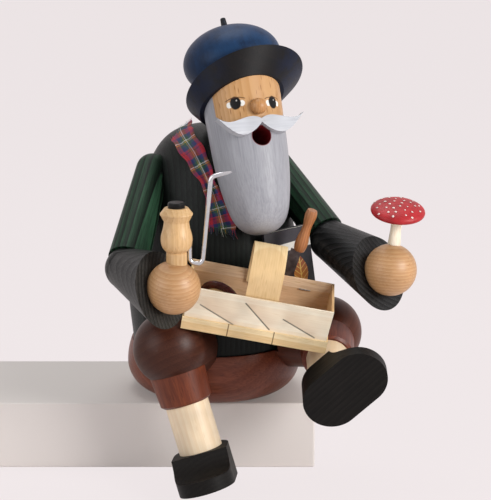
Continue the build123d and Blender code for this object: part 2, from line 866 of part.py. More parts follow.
pipe_foot = hand["right"] + z_axis * hand_radius + pipe_offset
pipe_plane = Plane(origin=pipe_foot, x_dir=(1, 0, 0), z_dir=(0, -1, 0))
with BuildPart() as pipe_bowl:
    with BuildSketch(pipe_plane):
        with BuildLine():
            Polyline(
                (0, -2),
                (pipe_base_radius, -2),
                (pipe_base_radius, pipe_base_height - 0.8),
                (pipe_base_radius - pipe_groove, pipe_base_height),
            )
            bowl_belly(0)
            edge_radius = pipe_collar_radius - pipe_collar_edge / 2
            Line((pipe_neck_radius, pipe_neck_height), (edge_radius, pipe_collar_height - pipe_collar_edge))
            ThreePointArc(
                (edge_radius, pipe_collar_height - pipe_collar_edge),
                (pipe_collar_radius, pipe_collar_height),
                (edge_radius, pipe_collar_height + pipe_collar_edge),
            )
            Line((edge_radius, pipe_collar_height + pipe_collar_edge), (pipe_lip_radius, pipe_height))
            Polyline((pipe_lip_radius, pipe_height), (0, pipe_height), (0, -2))
        make_face()
    revolve(axis=Axis(pipe_foot, z_axis))
    with Locations(hand["right"]):
        Sphere(hand_radius + glue_gap, mode=Mode.SUBTRACT)
    with Locations(pipe_foot + z_axis * (pipe_height - pipe_plug_depth)):
        Cylinder(
            pipe_plug_radius + glue_gap,
            pipe_height,
            align=(Align.CENTER, Align.CENTER, Align.MIN),
            mode=Mode.SUBTRACT,
        )
keep(pipe_bowl, "pipe_bowl")

with BuildPart() as pipe_plug:
    with Locations(pipe_foot + z_axis * (pipe_height - pipe_plug_depth + glue_gap)):
        Cylinder(
            pipe_plug_radius,
            pipe_plug_depth + pipe_plug_height,
            align=(Align.CENTER, Align.CENTER, Align.MIN),
        )
    fillet(pipe_plug.faces().sort_by(Axis.Z)[-1].edges(), radius=1.2)
keep(pipe_plug, "pipe_plug")

with BuildPart() as pipe_stem:
    with BuildLine(pipe_plane) as stem_path:
        FilletPolyline(
            (pipe_wire_offset, pipe_belly_height),
            (pipe_wire_offset, -pipe_bend_drop),
            (pipe_limb_foot, -pipe_bend_drop),
            pipe_limb_top,
            pipe_tip,
            radius=pipe_bend_radius,
        )
    with BuildSketch(Plane(origin=stem_path.wire() @ 0, z_dir=stem_path.wire() % 0)):
        Circle(pipe_wire_radius)
    sweep()
    tip_plane = Plane(
        origin=pipe_plane.from_local_coords(Vector(*pipe_tip)),
        x_dir=-(stem_path.wire() % 1),
        z_dir=pipe_plane.z_dir,
    )
    with BuildSketch(tip_plane):
        for way in (1, -1):
            with BuildLine():
                Polyline(
                    (-1, way * pipe_tip_thickness / 2),
                    (-1, way * 2 * pipe_wire_radius),
                    (pipe_taper, way * 2 * pipe_wire_radius),
                    (pipe_taper, way * pipe_wire_radius),
                    close=True,
                )
            make_face()
    extrude(amount=2 * pipe_wire_radius, both=True, mode=Mode.SUBTRACT)
    with BuildSketch(pipe_plane):
        with BuildLine():
            bowl_belly(glue_gap)
            Polyline(
                (pipe_neck_radius + glue_gap, pipe_neck_height),
                (0, pipe_neck_height),
                (0, pipe_base_height),
                (pipe_base_radius - pipe_groove + glue_gap, pipe_base_height),
            )
        make_face()
    revolve(axis=Axis(pipe_foot, z_axis), mode=Mode.SUBTRACT)
keep(pipe_stem, "pipe_stem")

# Fly agaric on the left hand

agaric_foot = hand["left"] + agaric_offset + z_axis * (hand_radius - 1.5)
agaric_lathe = lathe(agaric_foot, agaric_lean)
agaric_top = agaric_stem_length + 1.5
with BuildPart() as toadstool_stem:
    with BuildSketch(agaric_lathe):
        with BuildLine():
            Polyline(
                (0, -2),
                (agaric_stem_radius, -2),
                (agaric_stem_radius, 2),
                (agaric_neck_radius, agaric_top / 2),
                (agaric_neck_radius, agaric_top + agaric_socket),
                (0, agaric_top + agaric_socket),
                close=True,
            )
        make_face()
    revolve(axis=Axis(agaric_foot, agaric_lean))
    with Locations(hand["left"]):
        Sphere(hand_radius + glue_gap, mode=Mode.SUBTRACT)
keep(toadstool_stem, "toadstool_stem")

agaric_seat = agaric_foot + agaric_lean * agaric_top
with BuildPart() as toadstool_cap:
    with BuildSketch(lathe(agaric_seat, agaric_cap_axis)):
        with BuildLine():
            agaric_dome = EllipticalCenterArc(
                (0, agaric_lip),
                agaric_radius,
                agaric_height - agaric_lip,
                start_angle=0,
                arc_size=87,
            )
            dome_end = agaric_dome @ 1
            Polyline(
                (dome_end.X, dome_end.Y),
                (0, dome_end.Y),
                (0, 0),
                (agaric_radius - agaric_lip, 0),
            )
            ThreePointArc(
                (agaric_radius - agaric_lip, 0),
                (agaric_radius - agaric_lip * 0.3, agaric_lip * 0.3),
                (agaric_radius, agaric_lip),
            )
        make_face()
    revolve(axis=Axis(agaric_seat, agaric_cap_axis))
    with Locations(square_to(agaric_seat, agaric_lean).location):
        Cylinder(
            agaric_neck_radius + glue_gap,
            2 * (agaric_socket + glue_gap),
            mode=Mode.SUBTRACT,
        )
keep(toadstool_cap, "toadstool_cap")

# Basket of thin chip wood, set on the right knee


def in_basket(x, y, z):
    """World point of a place in the basket's own frame."""
    return basket_origin + basket_x * x + basket_y * y + basket_up * z


def along_basket(vector):
    """World direction of a direction in the basket's own frame."""
    return basket_x * vector.X + basket_y * vector.Y + basket_up * vector.Z


across_plane = Plane(origin=basket_origin, x_dir=basket_y, z_dir=basket_x)
along_plane = Plane(origin=basket_origin, x_dir=basket_x, z_dir=-basket_y)
inset = basket_wall + glue_gap
half_depth = basket_depth / 2
half_top_depth = basket_top_depth / 2

with BuildPart() as basket_floor:
    with BuildSketch(basket_plane):
        Rectangle(basket_length - 2 * inset, basket_depth - 2 * inset)
    extrude(amount=basket_floor_thickness)
keep(basket_floor, "basket_floor")

for wall_name, way in (("front", -1), ("back", 1)):
    outward = (basket_y * way - basket_up * wall_splay).normalized()
    wall_plane = Plane(origin=in_basket(0, way * half_depth, 0), x_dir=basket_x * -way, z_dir=outward)
    with BuildPart() as basket_side:
        with BuildSketch(basket_plane):
            Rectangle(basket_length, basket_depth)
        with BuildSketch(basket_plane.offset(basket_height)):
            Rectangle(basket_top_length, basket_top_depth)
        loft()
        with BuildSketch(across_plane):
            with BuildLine():
                Polyline(
                    (way * half_depth, 0),
                    (way * half_top_depth, basket_height),
                    (way * (half_top_depth - basket_wall), basket_height),
                    (way * (half_depth - basket_wall), 0),
                    close=True,
                )
            make_face()
        extrude(amount=basket_top_length, both=True, mode=Mode.INTERSECT)
        if wall_name == "front":
            with BuildSketch(wall_plane):
                for (start_x, start_y), (end_x, end_y) in slits:
                    turn = degrees(atan2(end_y - start_y, end_x - start_x))
                    middle = ((start_x + end_x) / 2, (start_y + end_y) / 2, 0)
                    with Locations(Location(middle, (0, 0, turn))):
                        Rectangle(hypot(end_x - start_x, end_y - start_y), slit_width)
            extrude(amount=-slit_depth, mode=Mode.SUBTRACT)
    keep(basket_side, f"basket_{wall_name}")

for end_name, way in (("right", -1), ("left", 1)):
    with BuildPart() as basket_end:
        with BuildSketch(basket_plane):
            Rectangle(basket_length, basket_depth - 2 * inset)
        with BuildSketch(basket_plane.offset(basket_height)):
            Rectangle(basket_top_length, basket_top_depth - 2 * inset)
        loft()
        with BuildSketch(along_plane):
            with BuildLine():
                Polyline(
                    (way * basket_length / 2, 0),
                    (way * basket_top_length / 2, basket_height),
                    (way * (basket_top_length / 2 - basket_wall), basket_height),
                    (way * (basket_length / 2 - basket_wall), 0),
                    close=True,
                )
            make_face()
        extrude(amount=basket_top_depth, both=True, mode=Mode.INTERSECT)
    keep(basket_end, f"basket_{end_name}_end")

with BuildPart() as basket_base_band:
    for grow, mode in ((glue_gap + band_thickness, Mode.ADD), (glue_gap, Mode.SUBTRACT)):
        with BuildSketch(basket_plane):
            Rectangle(basket_length + 2 * grow, basket_depth + 2 * grow)
        with BuildSketch(basket_plane.offset(band_height)):
            Rectangle(
                basket_length + 2 * grow + 2 * end_splay * band_height,
                basket_depth + 2 * grow + 2 * wall_splay * band_height,
            )
        loft(mode=mode)
keep(basket_base_band, "basket_base_band")

handle_bottom = basket_height - handle_foot
handle_radius = half_depth + wall_splay * handle_bottom - inset
handle_spring = basket_height + handle_straight
with BuildPart() as basket_handle:
    with BuildSketch(Plane(origin=in_basket(handle_place, 0, 0), x_dir=basket_y, z_dir=basket_x)):
        with BuildLine():
            for radius in (handle_radius, handle_radius - handle_strip):
                Line((radius, handle_bottom), (radius, handle_spring))
                CenterArc((0, handle_spring), radius, 0, 180)
                Line((-radius, handle_spring), (-radius, handle_bottom))
            for way in (1, -1):
                inner = handle_radius - handle_strip
                Line((way * handle_radius, handle_bottom), (way * inner, handle_bottom))
        make_face()
    extrude(amount=handle_width / 2, both=True)
keep(basket_handle, "basket_handle")

staple_x, staple_z = staple_place
staple_y = half_depth + wall_splay * staple_z - inset - staple_wire / 2
with BuildPart() as basket_staple:
    with Locations(square_to(in_basket(staple_x, staple_y, staple_z), basket_x).location):
        Cylinder(staple_wire / 2, staple_length)
keep(basket_staple, "basket_staple")

# Boletes in the basket

with BuildPart() as bolete_caps:
    for number in (0, 1):
        place = in_basket(*bolete_place[number])
        axis = along_basket(bolete_axis[number])
        with BuildSketch(lathe(place, axis)):
            with BuildLine():
                bolete_dome = EllipticalCenterArc(
                    (0, bolete_lip),
                    bolete_radius[number],
                    bolete_height[number] - bolete_lip,
                    start_angle=0,
                    arc_size=86,
                )
                dome_end = bolete_dome @ 1
                Polyline(
                    (dome_end.X, dome_end.Y),
                    (0, dome_end.Y),
                    (0, 0),
                    (bolete_radius[number] - bolete_lip, 0),
                    (bolete_radius[number], bolete_lip),
                )
            make_face()
        revolve(axis=Axis(place, axis))
keep(bolete_caps, "bolete_caps")

with BuildPart() as bolete_stems:
    for number in (0, 1):
        place = in_basket(*bolete_place[number])
        axis = along_basket(bolete_axis[number])
        with BuildSketch(lathe(place, axis)):
            with BuildLine():
                Polyline(
                    (0, -glue_gap),
                    (0, -bolete_stem_length[number]),
                    (bolete_stem_radius[number] - 0.8, -bolete_stem_length[number]),
                    (bolete_stem_radius[number], 1 - bolete_stem_length[number]),
                    (bolete_stem_radius[number] - 1, -glue_gap),
                    close=True,
                )
            make_face()
        revolve(axis=Axis(place, axis))
keep(bolete_stems, "bolete_stems")

# Knife, held against the back of the basket

back_normal = (basket_y - basket_up * wall_splay).normalized()
back_up = back_normal.cross(-basket_x)
knife_up = back_up * cos(radians(knife_lean)) + basket_x * sin(radians(knife_lean))
knife_tip = in_basket(knife_place, half_depth, 0) + knife_up * blade_foot + back_normal * glue_gap
knife_plane = Plane(origin=knife_tip, x_dir=knife_up.cross(back_normal), z_dir=back_normal)
with BuildPart() as knife_blade:
    with BuildSketch(knife_plane):
        with BuildLine():
            Polyline(
                (blade_offset - blade_width / 2, 0.3 * blade_width),
                (blade_offset + blade_width / 2, 0),
                (blade_offset + blade_width / 2, blade_length),
                (blade_offset - blade_width / 2, blade_length),
                close=True,
            )
        make_face()
        with Locations((0, blade_length)):
            Rectangle(blade_width / 2, 2 * knife_tang)
    extrude(amount=blade_thickness)
keep(knife_blade, "knife_blade")

handle_foot_point = knife_tip + knife_up * (blade_length + glue_gap) + back_normal * (blade_thickness / 2)
with BuildPart() as knife_handle:
    with BuildSketch(lathe(handle_foot_point, knife_up)):
        with BuildLine():
            Polyline((0, knife_handle_length), (0, 0), (knife_handle_radius - 0.8, 0))
            Spline(
                (knife_handle_radius - 0.8, 0),
                (knife_handle_radius, 4),
                (knife_waist_radius, knife_handle_length * 0.6),
                (knife_handle_radius * 0.9, knife_handle_length - 2.5),
                (knife_handle_radius * 0.75, knife_handle_length),
            )
            Line((knife_handle_radius * 0.75, knife_handle_length), (0, knife_handle_length))
        make_face()
    revolve(axis=Axis(handle_foot_point, knife_up))
    add(knife_blade.part, mode=Mode.SUBTRACT)
keep(knife_handle, "knife_handle")

# Field guide, one corner on the left thigh

book_out = heading(book_turn)
book_run = z_axis.cross(book_out)
book_base = knee_height["left"] + knee_radius - book_sink
book_place = book_out * book_reach + book_run * book_corner + z_axis * book_base
book_across = book_run * cos(radians(book_roll)) + z_axis * sin(radians(book_roll))
book_plane = Plane(origin=book_place, x_dir=book_across, z_dir=book_out)
from_corner = (Align.MAX, Align.MIN)
with BuildPart() as book_cover:
    with BuildSketch(book_plane):
        Rectangle(book_width, book_height, align=from_corner)
    extrude(amount=book_thickness)
    with BuildSketch(book_plane.offset(book_board)):
        with Locations((0, -book_height)):
            Rectangle(book_width - book_board, 3 * book_height, align=from_corner)
    extrude(amount=book_thickness - 2 * book_board, mode=Mode.SUBTRACT)
    add(thigh_room.part, mode=Mode.SUBTRACT)
keep(book_cover, "book_cover")

with BuildPart() as book_pages:
    with BuildSketch(book_plane.offset(book_board + glue_gap)):
        with Locations((-page_inset, page_inset)):
            Rectangle(
                book_width - book_board - page_inset - glue_gap,
                book_height - 2 * page_inset,
                align=from_corner,
            )
    extrude(amount=book_thickness - 2 * book_board - 2 * glue_gap)
    add(thigh_room.part, mode=Mode.SUBTRACT)
keep(book_pages, "book_pages")

# Scarf, one ribbon pinched at its knot

with BuildLine() as jacket_side:
    jacket_outline(0)


def jacket_point(turn, height, standoff):
    """Point off the jacket's surface and the way outwards there, for a turn from -Y to +X and a height."""
    low, high = 0.0, 1.0
    for _ in range(30):
        middle = (low + high) / 2
        if (jacket_side.line @ middle).Y < height:
            low = middle
        else:
            high = middle
    spot = jacket_side.line @ low
    slope = jacket_side.line % low
    outward = heading(turn) * slope.Y - z_axis * slope.X
    return heading(turn) * spot.X + z_axis * spot.Y + outward * standoff, outward



scarf_spots = [
    jacket_point(turn, height, scarf_standoff + extra + scarf_thickness / 2)
    for turn, height, width, extra in scarf_path
]
with BuildPart() as scarf:
    for number, (spot, outward) in enumerate(scarf_spots):
        before = scarf_spots[max(number - 1, 0)][0]
        after = scarf_spots[min(number + 1, len(scarf_spots) - 1)][0]
        along = (after - before).normalized()
        with BuildSketch(Plane(origin=spot, x_dir=along.cross(outward), z_dir=along)):
            Rectangle(scarf_path[number][2], scarf_thickness)
    loft()
    knot_number = min(range(len(scarf_path)), key=lambda number: scarf_path[number][2])
    knot, knot_outward = scarf_spots[knot_number]
    knot_along = (scarf_spots[knot_number + 1][0] - scarf_spots[knot_number - 1][0]).normalized()
    with BuildSketch(Plane(origin=knot, x_dir=knot_along.cross(knot_outward), z_dir=knot_along)):
        RectangleRounded(scarf_path[knot_number][2] + scarf_knot, scarf_knot, scarf_knot * 0.45)
    extrude(amount=scarf_path[knot_number][2] * 0.4, both=True)
    add(jacket_room.part, mode=Mode.SUBTRACT)
    add(head_room.part, mode=Mode.SUBTRACT)
keep(scarf, "scarf")
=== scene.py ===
import bpy
import math
import random
from mathutils import Matrix, Vector


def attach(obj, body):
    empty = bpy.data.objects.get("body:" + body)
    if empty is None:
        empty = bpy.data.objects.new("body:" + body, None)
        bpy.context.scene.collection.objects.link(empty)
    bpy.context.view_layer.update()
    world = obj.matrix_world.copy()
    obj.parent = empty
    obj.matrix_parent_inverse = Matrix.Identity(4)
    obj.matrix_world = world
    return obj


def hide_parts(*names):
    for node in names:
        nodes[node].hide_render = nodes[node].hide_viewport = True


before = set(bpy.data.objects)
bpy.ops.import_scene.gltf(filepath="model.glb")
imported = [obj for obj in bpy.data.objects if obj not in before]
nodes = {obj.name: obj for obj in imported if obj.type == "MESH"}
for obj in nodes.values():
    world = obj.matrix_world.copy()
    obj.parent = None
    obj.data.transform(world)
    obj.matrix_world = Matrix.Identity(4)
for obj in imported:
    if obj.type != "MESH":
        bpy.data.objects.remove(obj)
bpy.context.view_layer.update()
print("frame loaded,", len(nodes), "nodes")

# sizes and places on the object are written in millimetres, and Blender works in metres
mm = 0.001


def hexColour(text):
    # a colour written as sRGB, turned into the linear values that nodes take
    parts = [int(text[i:i + 2], 16) / 255 for i in (1, 3, 5)]
    return [v / 12.92 if v <= 0.04045 else ((v + 0.055) / 1.055) ** 2.4 for v in parts] + [1.0]


def asValue(value):
    return hexColour(value) if isinstance(value, str) else value


def freshMaterial(name):
    material = bpy.data.materials.new(name)
    material.use_nodes = True
    return material, material.node_tree, material.node_tree.nodes["Principled BSDF"]


def paintedBase(name):
    # a material made before, with the colour that it has so far
    tree = bpy.data.materials[name].node_tree
    shader = tree.nodes["Principled BSDF"]
    return tree, shader, shader.inputs["Base Color"].links[0].from_socket


def putNode(tree, kind, inputs=None, **settings):
    node = tree.nodes.new(kind)
    for key, value in settings.items():
        setattr(node, key, value)
    for key, value in (inputs or {}).items():
        if isinstance(value, bpy.types.NodeSocket):
            tree.links.new(value, node.inputs[key])
        else:
            node.inputs[key].default_value = asValue(value)
    return node


def sums(tree, operation, first, second=None, third=None):
    inputs = {i: v for i, v in enumerate((first, second, third)) if v is not None}
    return putNode(tree, "ShaderNodeMath", inputs, operation=operation).outputs[0]


def times(tree, first, *others):
    for other in others:
        first = sums(tree, "MULTIPLY", first, other)
    return first


def sizeOf(tree, value):
    return sums(tree, "ABSOLUTE", value)


def distance(tree, x, y):
    return sums(tree, "SQRT", sums(tree, "ADD", times(tree, x, x), times(tree, y, y)))


def apart(tree, vector):
    return putNode(tree, "ShaderNodeSeparateXYZ", {0: vector}).outputs


def blendColours(tree, amount, first, second, mode="MIX"):
    inputs = {0: amount, 6: first, 7: second}
    return putNode(tree, "ShaderNodeMix", inputs, data_type="RGBA", blend_type=mode).outputs[2]


def ramp(tree, value, stops, smooth="LINEAR"):
    node = putNode(tree, "ShaderNodeValToRGB", {0: value})
    node.color_ramp.interpolation = smooth
    elements = node.color_ramp.elements
    while len(elements) < len(stops):
        elements.new(1.0)
    for element, (place, colour) in zip(elements, stops):
        element.position = place
        element.color = asValue(colour)
    return node.outputs[0]


def softStep(tree, value, low, high):
    inputs = {0: value, 1: low, 2: high}
    return putNode(tree, "ShaderNodeMapRange", inputs, interpolation_type="SMOOTHSTEP").outputs[0]


def within(tree, value, limit, soft):
    # 1 below the limit and 0 above it, with a soft edge
    return softStep(tree, value, limit + soft, limit - soft)


def between(tree, value, low, high, soft):
    return times(tree, softStep(tree, value, low - soft, low + soft), within(tree, value, high, soft))


def rowsOf(grain, side=None):
    # three directions with the grain last, used to turn a pattern onto a piece
    down = Vector(grain).normalized()
    upright = abs(down.z) >= 0.9
    start = Vector(side) if side else Vector((1, 0, 0)) if upright else Vector((0, 0, 1))
    across = (start - down * start.dot(down)).normalized()
    return Matrix((across, down.cross(across), down))


def objectPlace(tree):
    return putNode(tree, "ShaderNodeTexCoord").outputs["Object"]


def ownPlace(tree, place, rows):
    # object coordinates in millimetres, measured from a place on the piece
    inputs = {"Vector": objectPlace(tree), "Scale": (1 / mm, 1 / mm, 1 / mm)}
    moved = putNode(tree, "ShaderNodeMapping", inputs)
    moved.inputs["Location"].default_value = -(rows @ Vector(place))
    moved.inputs["Rotation"].default_value = rows.to_euler()
    return moved.outputs[0]


def stretched(tree, vector, scale):
    return putNode(tree, "ShaderNodeMapping", {"Vector": vector, "Scale": scale}).outputs[0]


def noise(tree, vector, scale, detail=3.0, rough=0.55):
    inputs = {"Vector": vector, "Scale": scale, "Detail": detail, "Roughness": rough}
    return putNode(tree, "ShaderNodeTexNoise", inputs).outputs[0]


def mottled(tree, colour, cloud, dark, light):
    # darker and lighter patches over a colour
    shade = putNode(tree, "ShaderNodeMapRange", {0: cloud, 1: 0.3, 2: 0.7, 3: dark, 4: light}).outputs[0]
    grey = putNode(tree, "ShaderNodeCombineColor", {0: shade, 1: shade, 2: shade}).outputs[0]
    return blendColours(tree, 1.0, colour, grey, "MULTIPLY")


def bumpFrom(tree, shader, height, strength, depth):
    bump = putNode(tree, "ShaderNodeBump", {"Strength": strength, "Distance": depth * mm, "Height": height})
    tree.links.new(bump.outputs[0], shader.inputs["Normal"])


def roughFrom(tree, shader, value, low, high):
    span = putNode(tree, "ShaderNodeMapRange", {0: value, 3: low, 4: high})
    tree.links.new(span.outputs[0], shader.inputs["Roughness"])


def looks(base, **changes):
    return {**base, **changes}


# what every wood starts from: year rings, fibres, flecks, varnish and relief
wood = {
    "side": None, "bent": None, "wavePeriod": 0.314, "ringStretch": 0.12, "wander": 2.2, "wanderSize": 0.16,
    "fine": 1.1, "fibreStretch": 0.035, "streak": 0.35, "streakEdge": (0.38, 0.66), "cloud": 0.045,
    "cloudShade": (0.86, 1.12), "fleckColour": None, "fleckSize": 0.55, "fleckStretch": 0.16,
    "fleckEdge": (0.30, 0.10), "fleckAmount": 0.6, "smoother": 0.07, "rougher": 0.1, "shine": 0.45,
    "coat": 0.0, "coatRough": 0.3, "groove": 0.4, "pore": 0.5, "bump": 0.5, "depth": 0.25,
}


def growthRings(tree, local, look):
    # year rings round the tree's heart, which lies off to one side of the billet
    heart = putNode(tree, "ShaderNodeMapping", {"Vector": local, "Location": look["heart"]}).outputs[0]
    wave = putNode(tree, "ShaderNodeTexWave", {
        "Vector": stretched(tree, heart, (1, 1, look["ringStretch"])),
        "Scale": look["wavePeriod"] / look["rings"], "Distortion": look["wander"],
        "Detail": 2.0, "Detail Scale": look["wanderSize"], "Detail Roughness": 0.5,
    }, wave_type="RINGS", rings_direction="Z", wave_profile="SAW")
    return wave.outputs["Fac"]


def fibres(tree, local, look):
    return noise(tree, stretched(tree, local, (1, 1, look["fibreStretch"])), look["fine"], 4.0, 0.6)


def flecks(tree, local, look):
    # short flecks along the grain, as the rays of beech show
    long = stretched(tree, local, (1, 1, look["fleckStretch"]))
    inputs = {"Vector": long, "Scale": look["fleckSize"], "Randomness": 1.0}
    cells = putNode(tree, "ShaderNodeTexVoronoi", inputs)
    marks = softStep(tree, cells.outputs["Distance"], *look["fleckEdge"])
    return times(tree, marks, look["fleckAmount"])


def stainedWood(name, place, look):
    material, tree, shader = freshMaterial(name)
    local = ownPlace(tree, place, rowsOf(look["grain"], look["side"]))
    if look["bent"]:
        # the grain of a bent strip follows it round
        local = stretched(tree, local, (1, look["bent"], 1))
    rings = growthRings(tree, local, look)
    fine = fibres(tree, local, look)
    early, late = look["early"], look["late"]
    colour = ramp(tree, rings, [(0.0, early), (look["edge"], late), (0.97, late), (1.0, early)])
    streak = times(tree, softStep(tree, fine, *look["streakEdge"]), look["streak"])
    colour = blendColours(tree, streak, colour, look["streakColour"])
    colour = mottled(tree, colour, noise(tree, local, look["cloud"], 2.0), *look["cloudShade"])
    if look["fleckColour"]:
        colour = blendColours(tree, flecks(tree, local, look), colour, look["fleckColour"])
    tree.links.new(colour, shader.inputs["Base Color"])
    roughFrom(tree, shader, fine, look["rough"] - look["smoother"], look["rough"] + look["rougher"])
    shader.inputs["Specular IOR Level"].default_value = look["shine"]
    shader.inputs["Coat Weight"].default_value = look["coat"]
    shader.inputs["Coat Roughness"].default_value = look["coatRough"]
    relief = sums(tree, "ADD", times(tree, rings, look["groove"]), times(tree, fine, look["pore"]))
    bumpFrom(tree, shader, relief, look["bump"], look["depth"])
    return material


def dress(node, material):
    piece = nodes[node]
    piece.data.materials.clear()
    piece.data.materials.append(material)
    for polygon in piece.data.polygons:
        polygon.material_index = 0


def dressAll(prefix, pieces):
    # each piece has a place that its grain is measured from, and its look
    for node, (place, look) in pieces.items():
        dress(node, stainedWood(prefix + node, place, look))


# dark green coat: brushed softwood, the rings stand out as ribs
coat = looks(wood, grain=(0, 0, 1), heart=(150, 60, 0), rings=3.6, early="#080a09", late="#171d1a", edge=0.8,
             streakColour="#060807", streak=0.5, rough=0.4, shine=0.14, groove=1.0, bump=0.75, depth=0.6,
             wander=1.6)
upperArm = looks(coat, rings=4.4, early="#050806", late="#2b4a36", edge=0.9)
sleeve = looks(coat, rings=3.4, wander=2.4)
coatPieces = {
    "jacket": ((0, 0, 110), coat),
    "right_upper_arm": ((-50, -52, 135), looks(upperArm, grain=(-0.176, -0.75, -0.637), heart=(-40, 62, 0))),
    "left_upper_arm": ((62, -8, 140), looks(upperArm, grain=(0.48, -0.672, -0.565), heart=(-30, 60, 0))),
    "right_sleeve": ((-42, -106, 106), looks(sleeve, grain=(0.802, -0.521, 0.291), heart=(24, 44, 30),
                                             early="#131413", late="#3a3a39")),
    "left_sleeve": ((100, -55, 110), looks(sleeve, grain=(0.691, -0.621, 0.37), heart=(-30, 40, 20),
                                           early="#111212", late="#303132")),
}
dressAll("coat_", coatPieces)
print("coat, arms and sleeves stained")

# brown trousers: stained beech under a satin varnish
trousers = looks(wood, grain=(0, 0, 1), heart=(70, 40, 0), rings=5.5, early="#63351f", late="#572c1a",
                 edge=0.8, streakColour="#491f10", streak=0.5, rough=0.4, groove=0.35, bump=0.35, coat=0.1,
                 coatRough=0.32, shine=0.25, fleckColour="#3f1a0e", fleckAmount=0.45)
trouserPieces = {
    "seat": ((0, 0, 15), looks(trousers, grain=(1, 0, 0), early="#7b412d", late="#6f3825")),
    "right_thigh": ((-28.4, -80.1, 50.5), looks(trousers, grain=(-0.334, -0.943, 0), early="#482619",
                                                late="#401f14", streakColour="#2f160c", shine=0.17)),
    "left_thigh": ((79.6, -29.8, 48.5), looks(trousers, grain=(0.937, -0.35, 0), early="#542b1b",
                                              late="#4a2416", shine=0.17)),
    "right_knee_cuff": ((-20, -84, 24), looks(trousers, grain=(0.284, -0.13, -0.95), early="#74381f",
                                              late="#672f1a", streakColour="#4c1f0f")),
    "left_knee_cuff": ((79.8, -55, 42), looks(trousers, grain=(0.01, -0.971, -0.24), early="#6f3522",
                                              late="#5c291a", streakColour="#42190f")),
}
dressAll("trousers_", trouserPieces)

# bare beech and maple
bare = looks(wood, grain=(1, 0, 0), heart=(0, 90, 0), rings=2.3, early="#c8a075", late="#b98a5c", edge=0.85,
             streakColour="#ad7f52", streak=0.4, rough=0.42, groove=0.2, pore=0.4, bump=0.25, depth=0.15,
             coat=0.15, coatRough=0.35, wander=1.2, fleckColour="#9a6a3d", fleckAmount=0.45)
pale = looks(bare, early="#efdcbf", late="#ead3b2", streakColour="#dfc39d", streak=0.3,
             fleckColour="#d2b483", fleckAmount=0.3, rings=4.0)
barePieces = {
    "right_hand": ((-24.1, -125, 104.1), looks(bare, grain=(0.96, 0.28, 0.06), heart=(62, 12, 0))),
    "left_hand": ((121.6, -75, 104.2), looks(bare, grain=(0.96, 0.28, -0.05), heart=(62, -12, 0))),
    "nose": ((29, -59, 207), looks(bare, grain=(0.34, -0.86, 0.37), rings=1.6, heart=(0, 24, 0),
                                   early="#c58f58", late="#b27c47")),
    "pipe_bowl": ((-21.9, -125, 139), looks(bare, grain=(0, 0, 1), heart=(30, 20, 0), early="#dcb887",
                                            late="#d2aa76", rings=3.0, streak=0.25, fleckAmount=0.3)),
    "neck_tube": ((9.8, -14.2, 163), looks(bare, grain=(0.4, -0.6, 0.7))),
    "right_stocking": ((-12, -88, 0), looks(pale, grain=(0.284, -0.13, -0.95), heart=(60, 20, 0))),
    "left_stocking": ((80, -85, 36), looks(pale, grain=(0.01, -0.971, -0.24), heart=(60, 20, 0))),
    "toadstool_stem": ((124.6, -73.6, 130), looks(pale, grain=(0.1, 0.04, 1), early="#f1e9da",
                                                  late="#e8dcc6", streakColour="#dccdb2")),
    "bolete_stems": ((3, -78, 78), looks(pale, early="#e6d2ab", late="#d9bf90")),
    "knife_handle": ((62, -68, 130), looks(bare, grain=(0.263, -0.092, 0.96), early="#b87b4c",
                                           late="#a1663b", streakColour="#8a532c", heart=(12, 9, 0),
                                           rings=1.6)),
    "hip_dowels": ((0, -40, 30), bare),
    "knee_dowels": ((0, -80, 30), bare),
    "ankle_dowels": ((0, -90, 0), bare),
    "shoulder_dowels": ((0, 0, 163), bare),
    "elbow_dowels": ((0, -60, 110), bare),
    "wrist_dowels": ((40, -100, 104), bare),
    "cap_dowel": ((20.6, -43.6, 213.9), looks(bare, grain=(-0.33, 0.64, 0.69))),
}
dressAll("bare_", barePieces)
print("trousers and bare wood done")

# black shoes, blue cap, painted mushrooms
shoe = looks(wood, grain=(0, -1, 0), heart=(40, 30, 0), rings=3.0, early="#110f0e", late="#191715", edge=0.8,
             streakColour="#090808", streak=0.5, rough=0.5, groove=0.35, pore=0.6, bump=0.4, shine=0.14)
capBlue = looks(wood, grain=(-0.22, 0.26, 0.94), heart=(60, 30, 0), rings=7.0, early="#122a49",
                late="#0f2440", edge=0.8, streakColour="#0b1a30", streak=0.5, rough=0.42, groove=0.2,
                pore=0.8, bump=0.35, depth=0.2, fleckColour="#1f4368", fleckAmount=0.35, fleckSize=0.9,
                shine=0.16)
paintedPieces = {
    "right_shoe": ((-8, -100, -30), looks(shoe, grain=(-0.06, -0.99, 0.1))),
    "left_shoe": ((80, -100, 30), looks(shoe, grain=(0.713, -0.203, 0.671))),
    "cap_crown": ((13.8, -27, 241), capBlue),
    "cap_brim": ((20.6, -43.6, 214), looks(capBlue, grain=(-0.33, 0.64, 0.69), early="#171414",
                                           late="#131213", streakColour="#0d0d10", fleckColour="#1c1a1b",
                                           rough=0.45)),
    "cap_stem": ((8.5, -21, 264), looks(capBlue, early="#2a2b30", late="#1c1d22", streakColour="#121316")),
    "bolete_caps": ((3, -78, 80), looks(shoe, early="#5c2b30", late="#4a2026", streakColour="#35151b",
                                        rough=0.26, coat=0.5, coatRough=0.18, groove=0.2)),
    "pipe_plug": ((-21.9, -125, 157), looks(shoe, early="#141313", late="#1b1a19", rough=0.3)),
}
dressAll("stain_", paintedPieces)

# the lying bolete has pale pores round its stem
pores = {"centre": (4.92, -79.9, 84.99), "axis": (0.4246, 0.729, 0.5369), "reach": 9.8, "soft": 0.5,
         "depth": (0.4, 0.2), "holes": 1.6, "colour": "#efdfc0", "dark": "#dcc79f"}


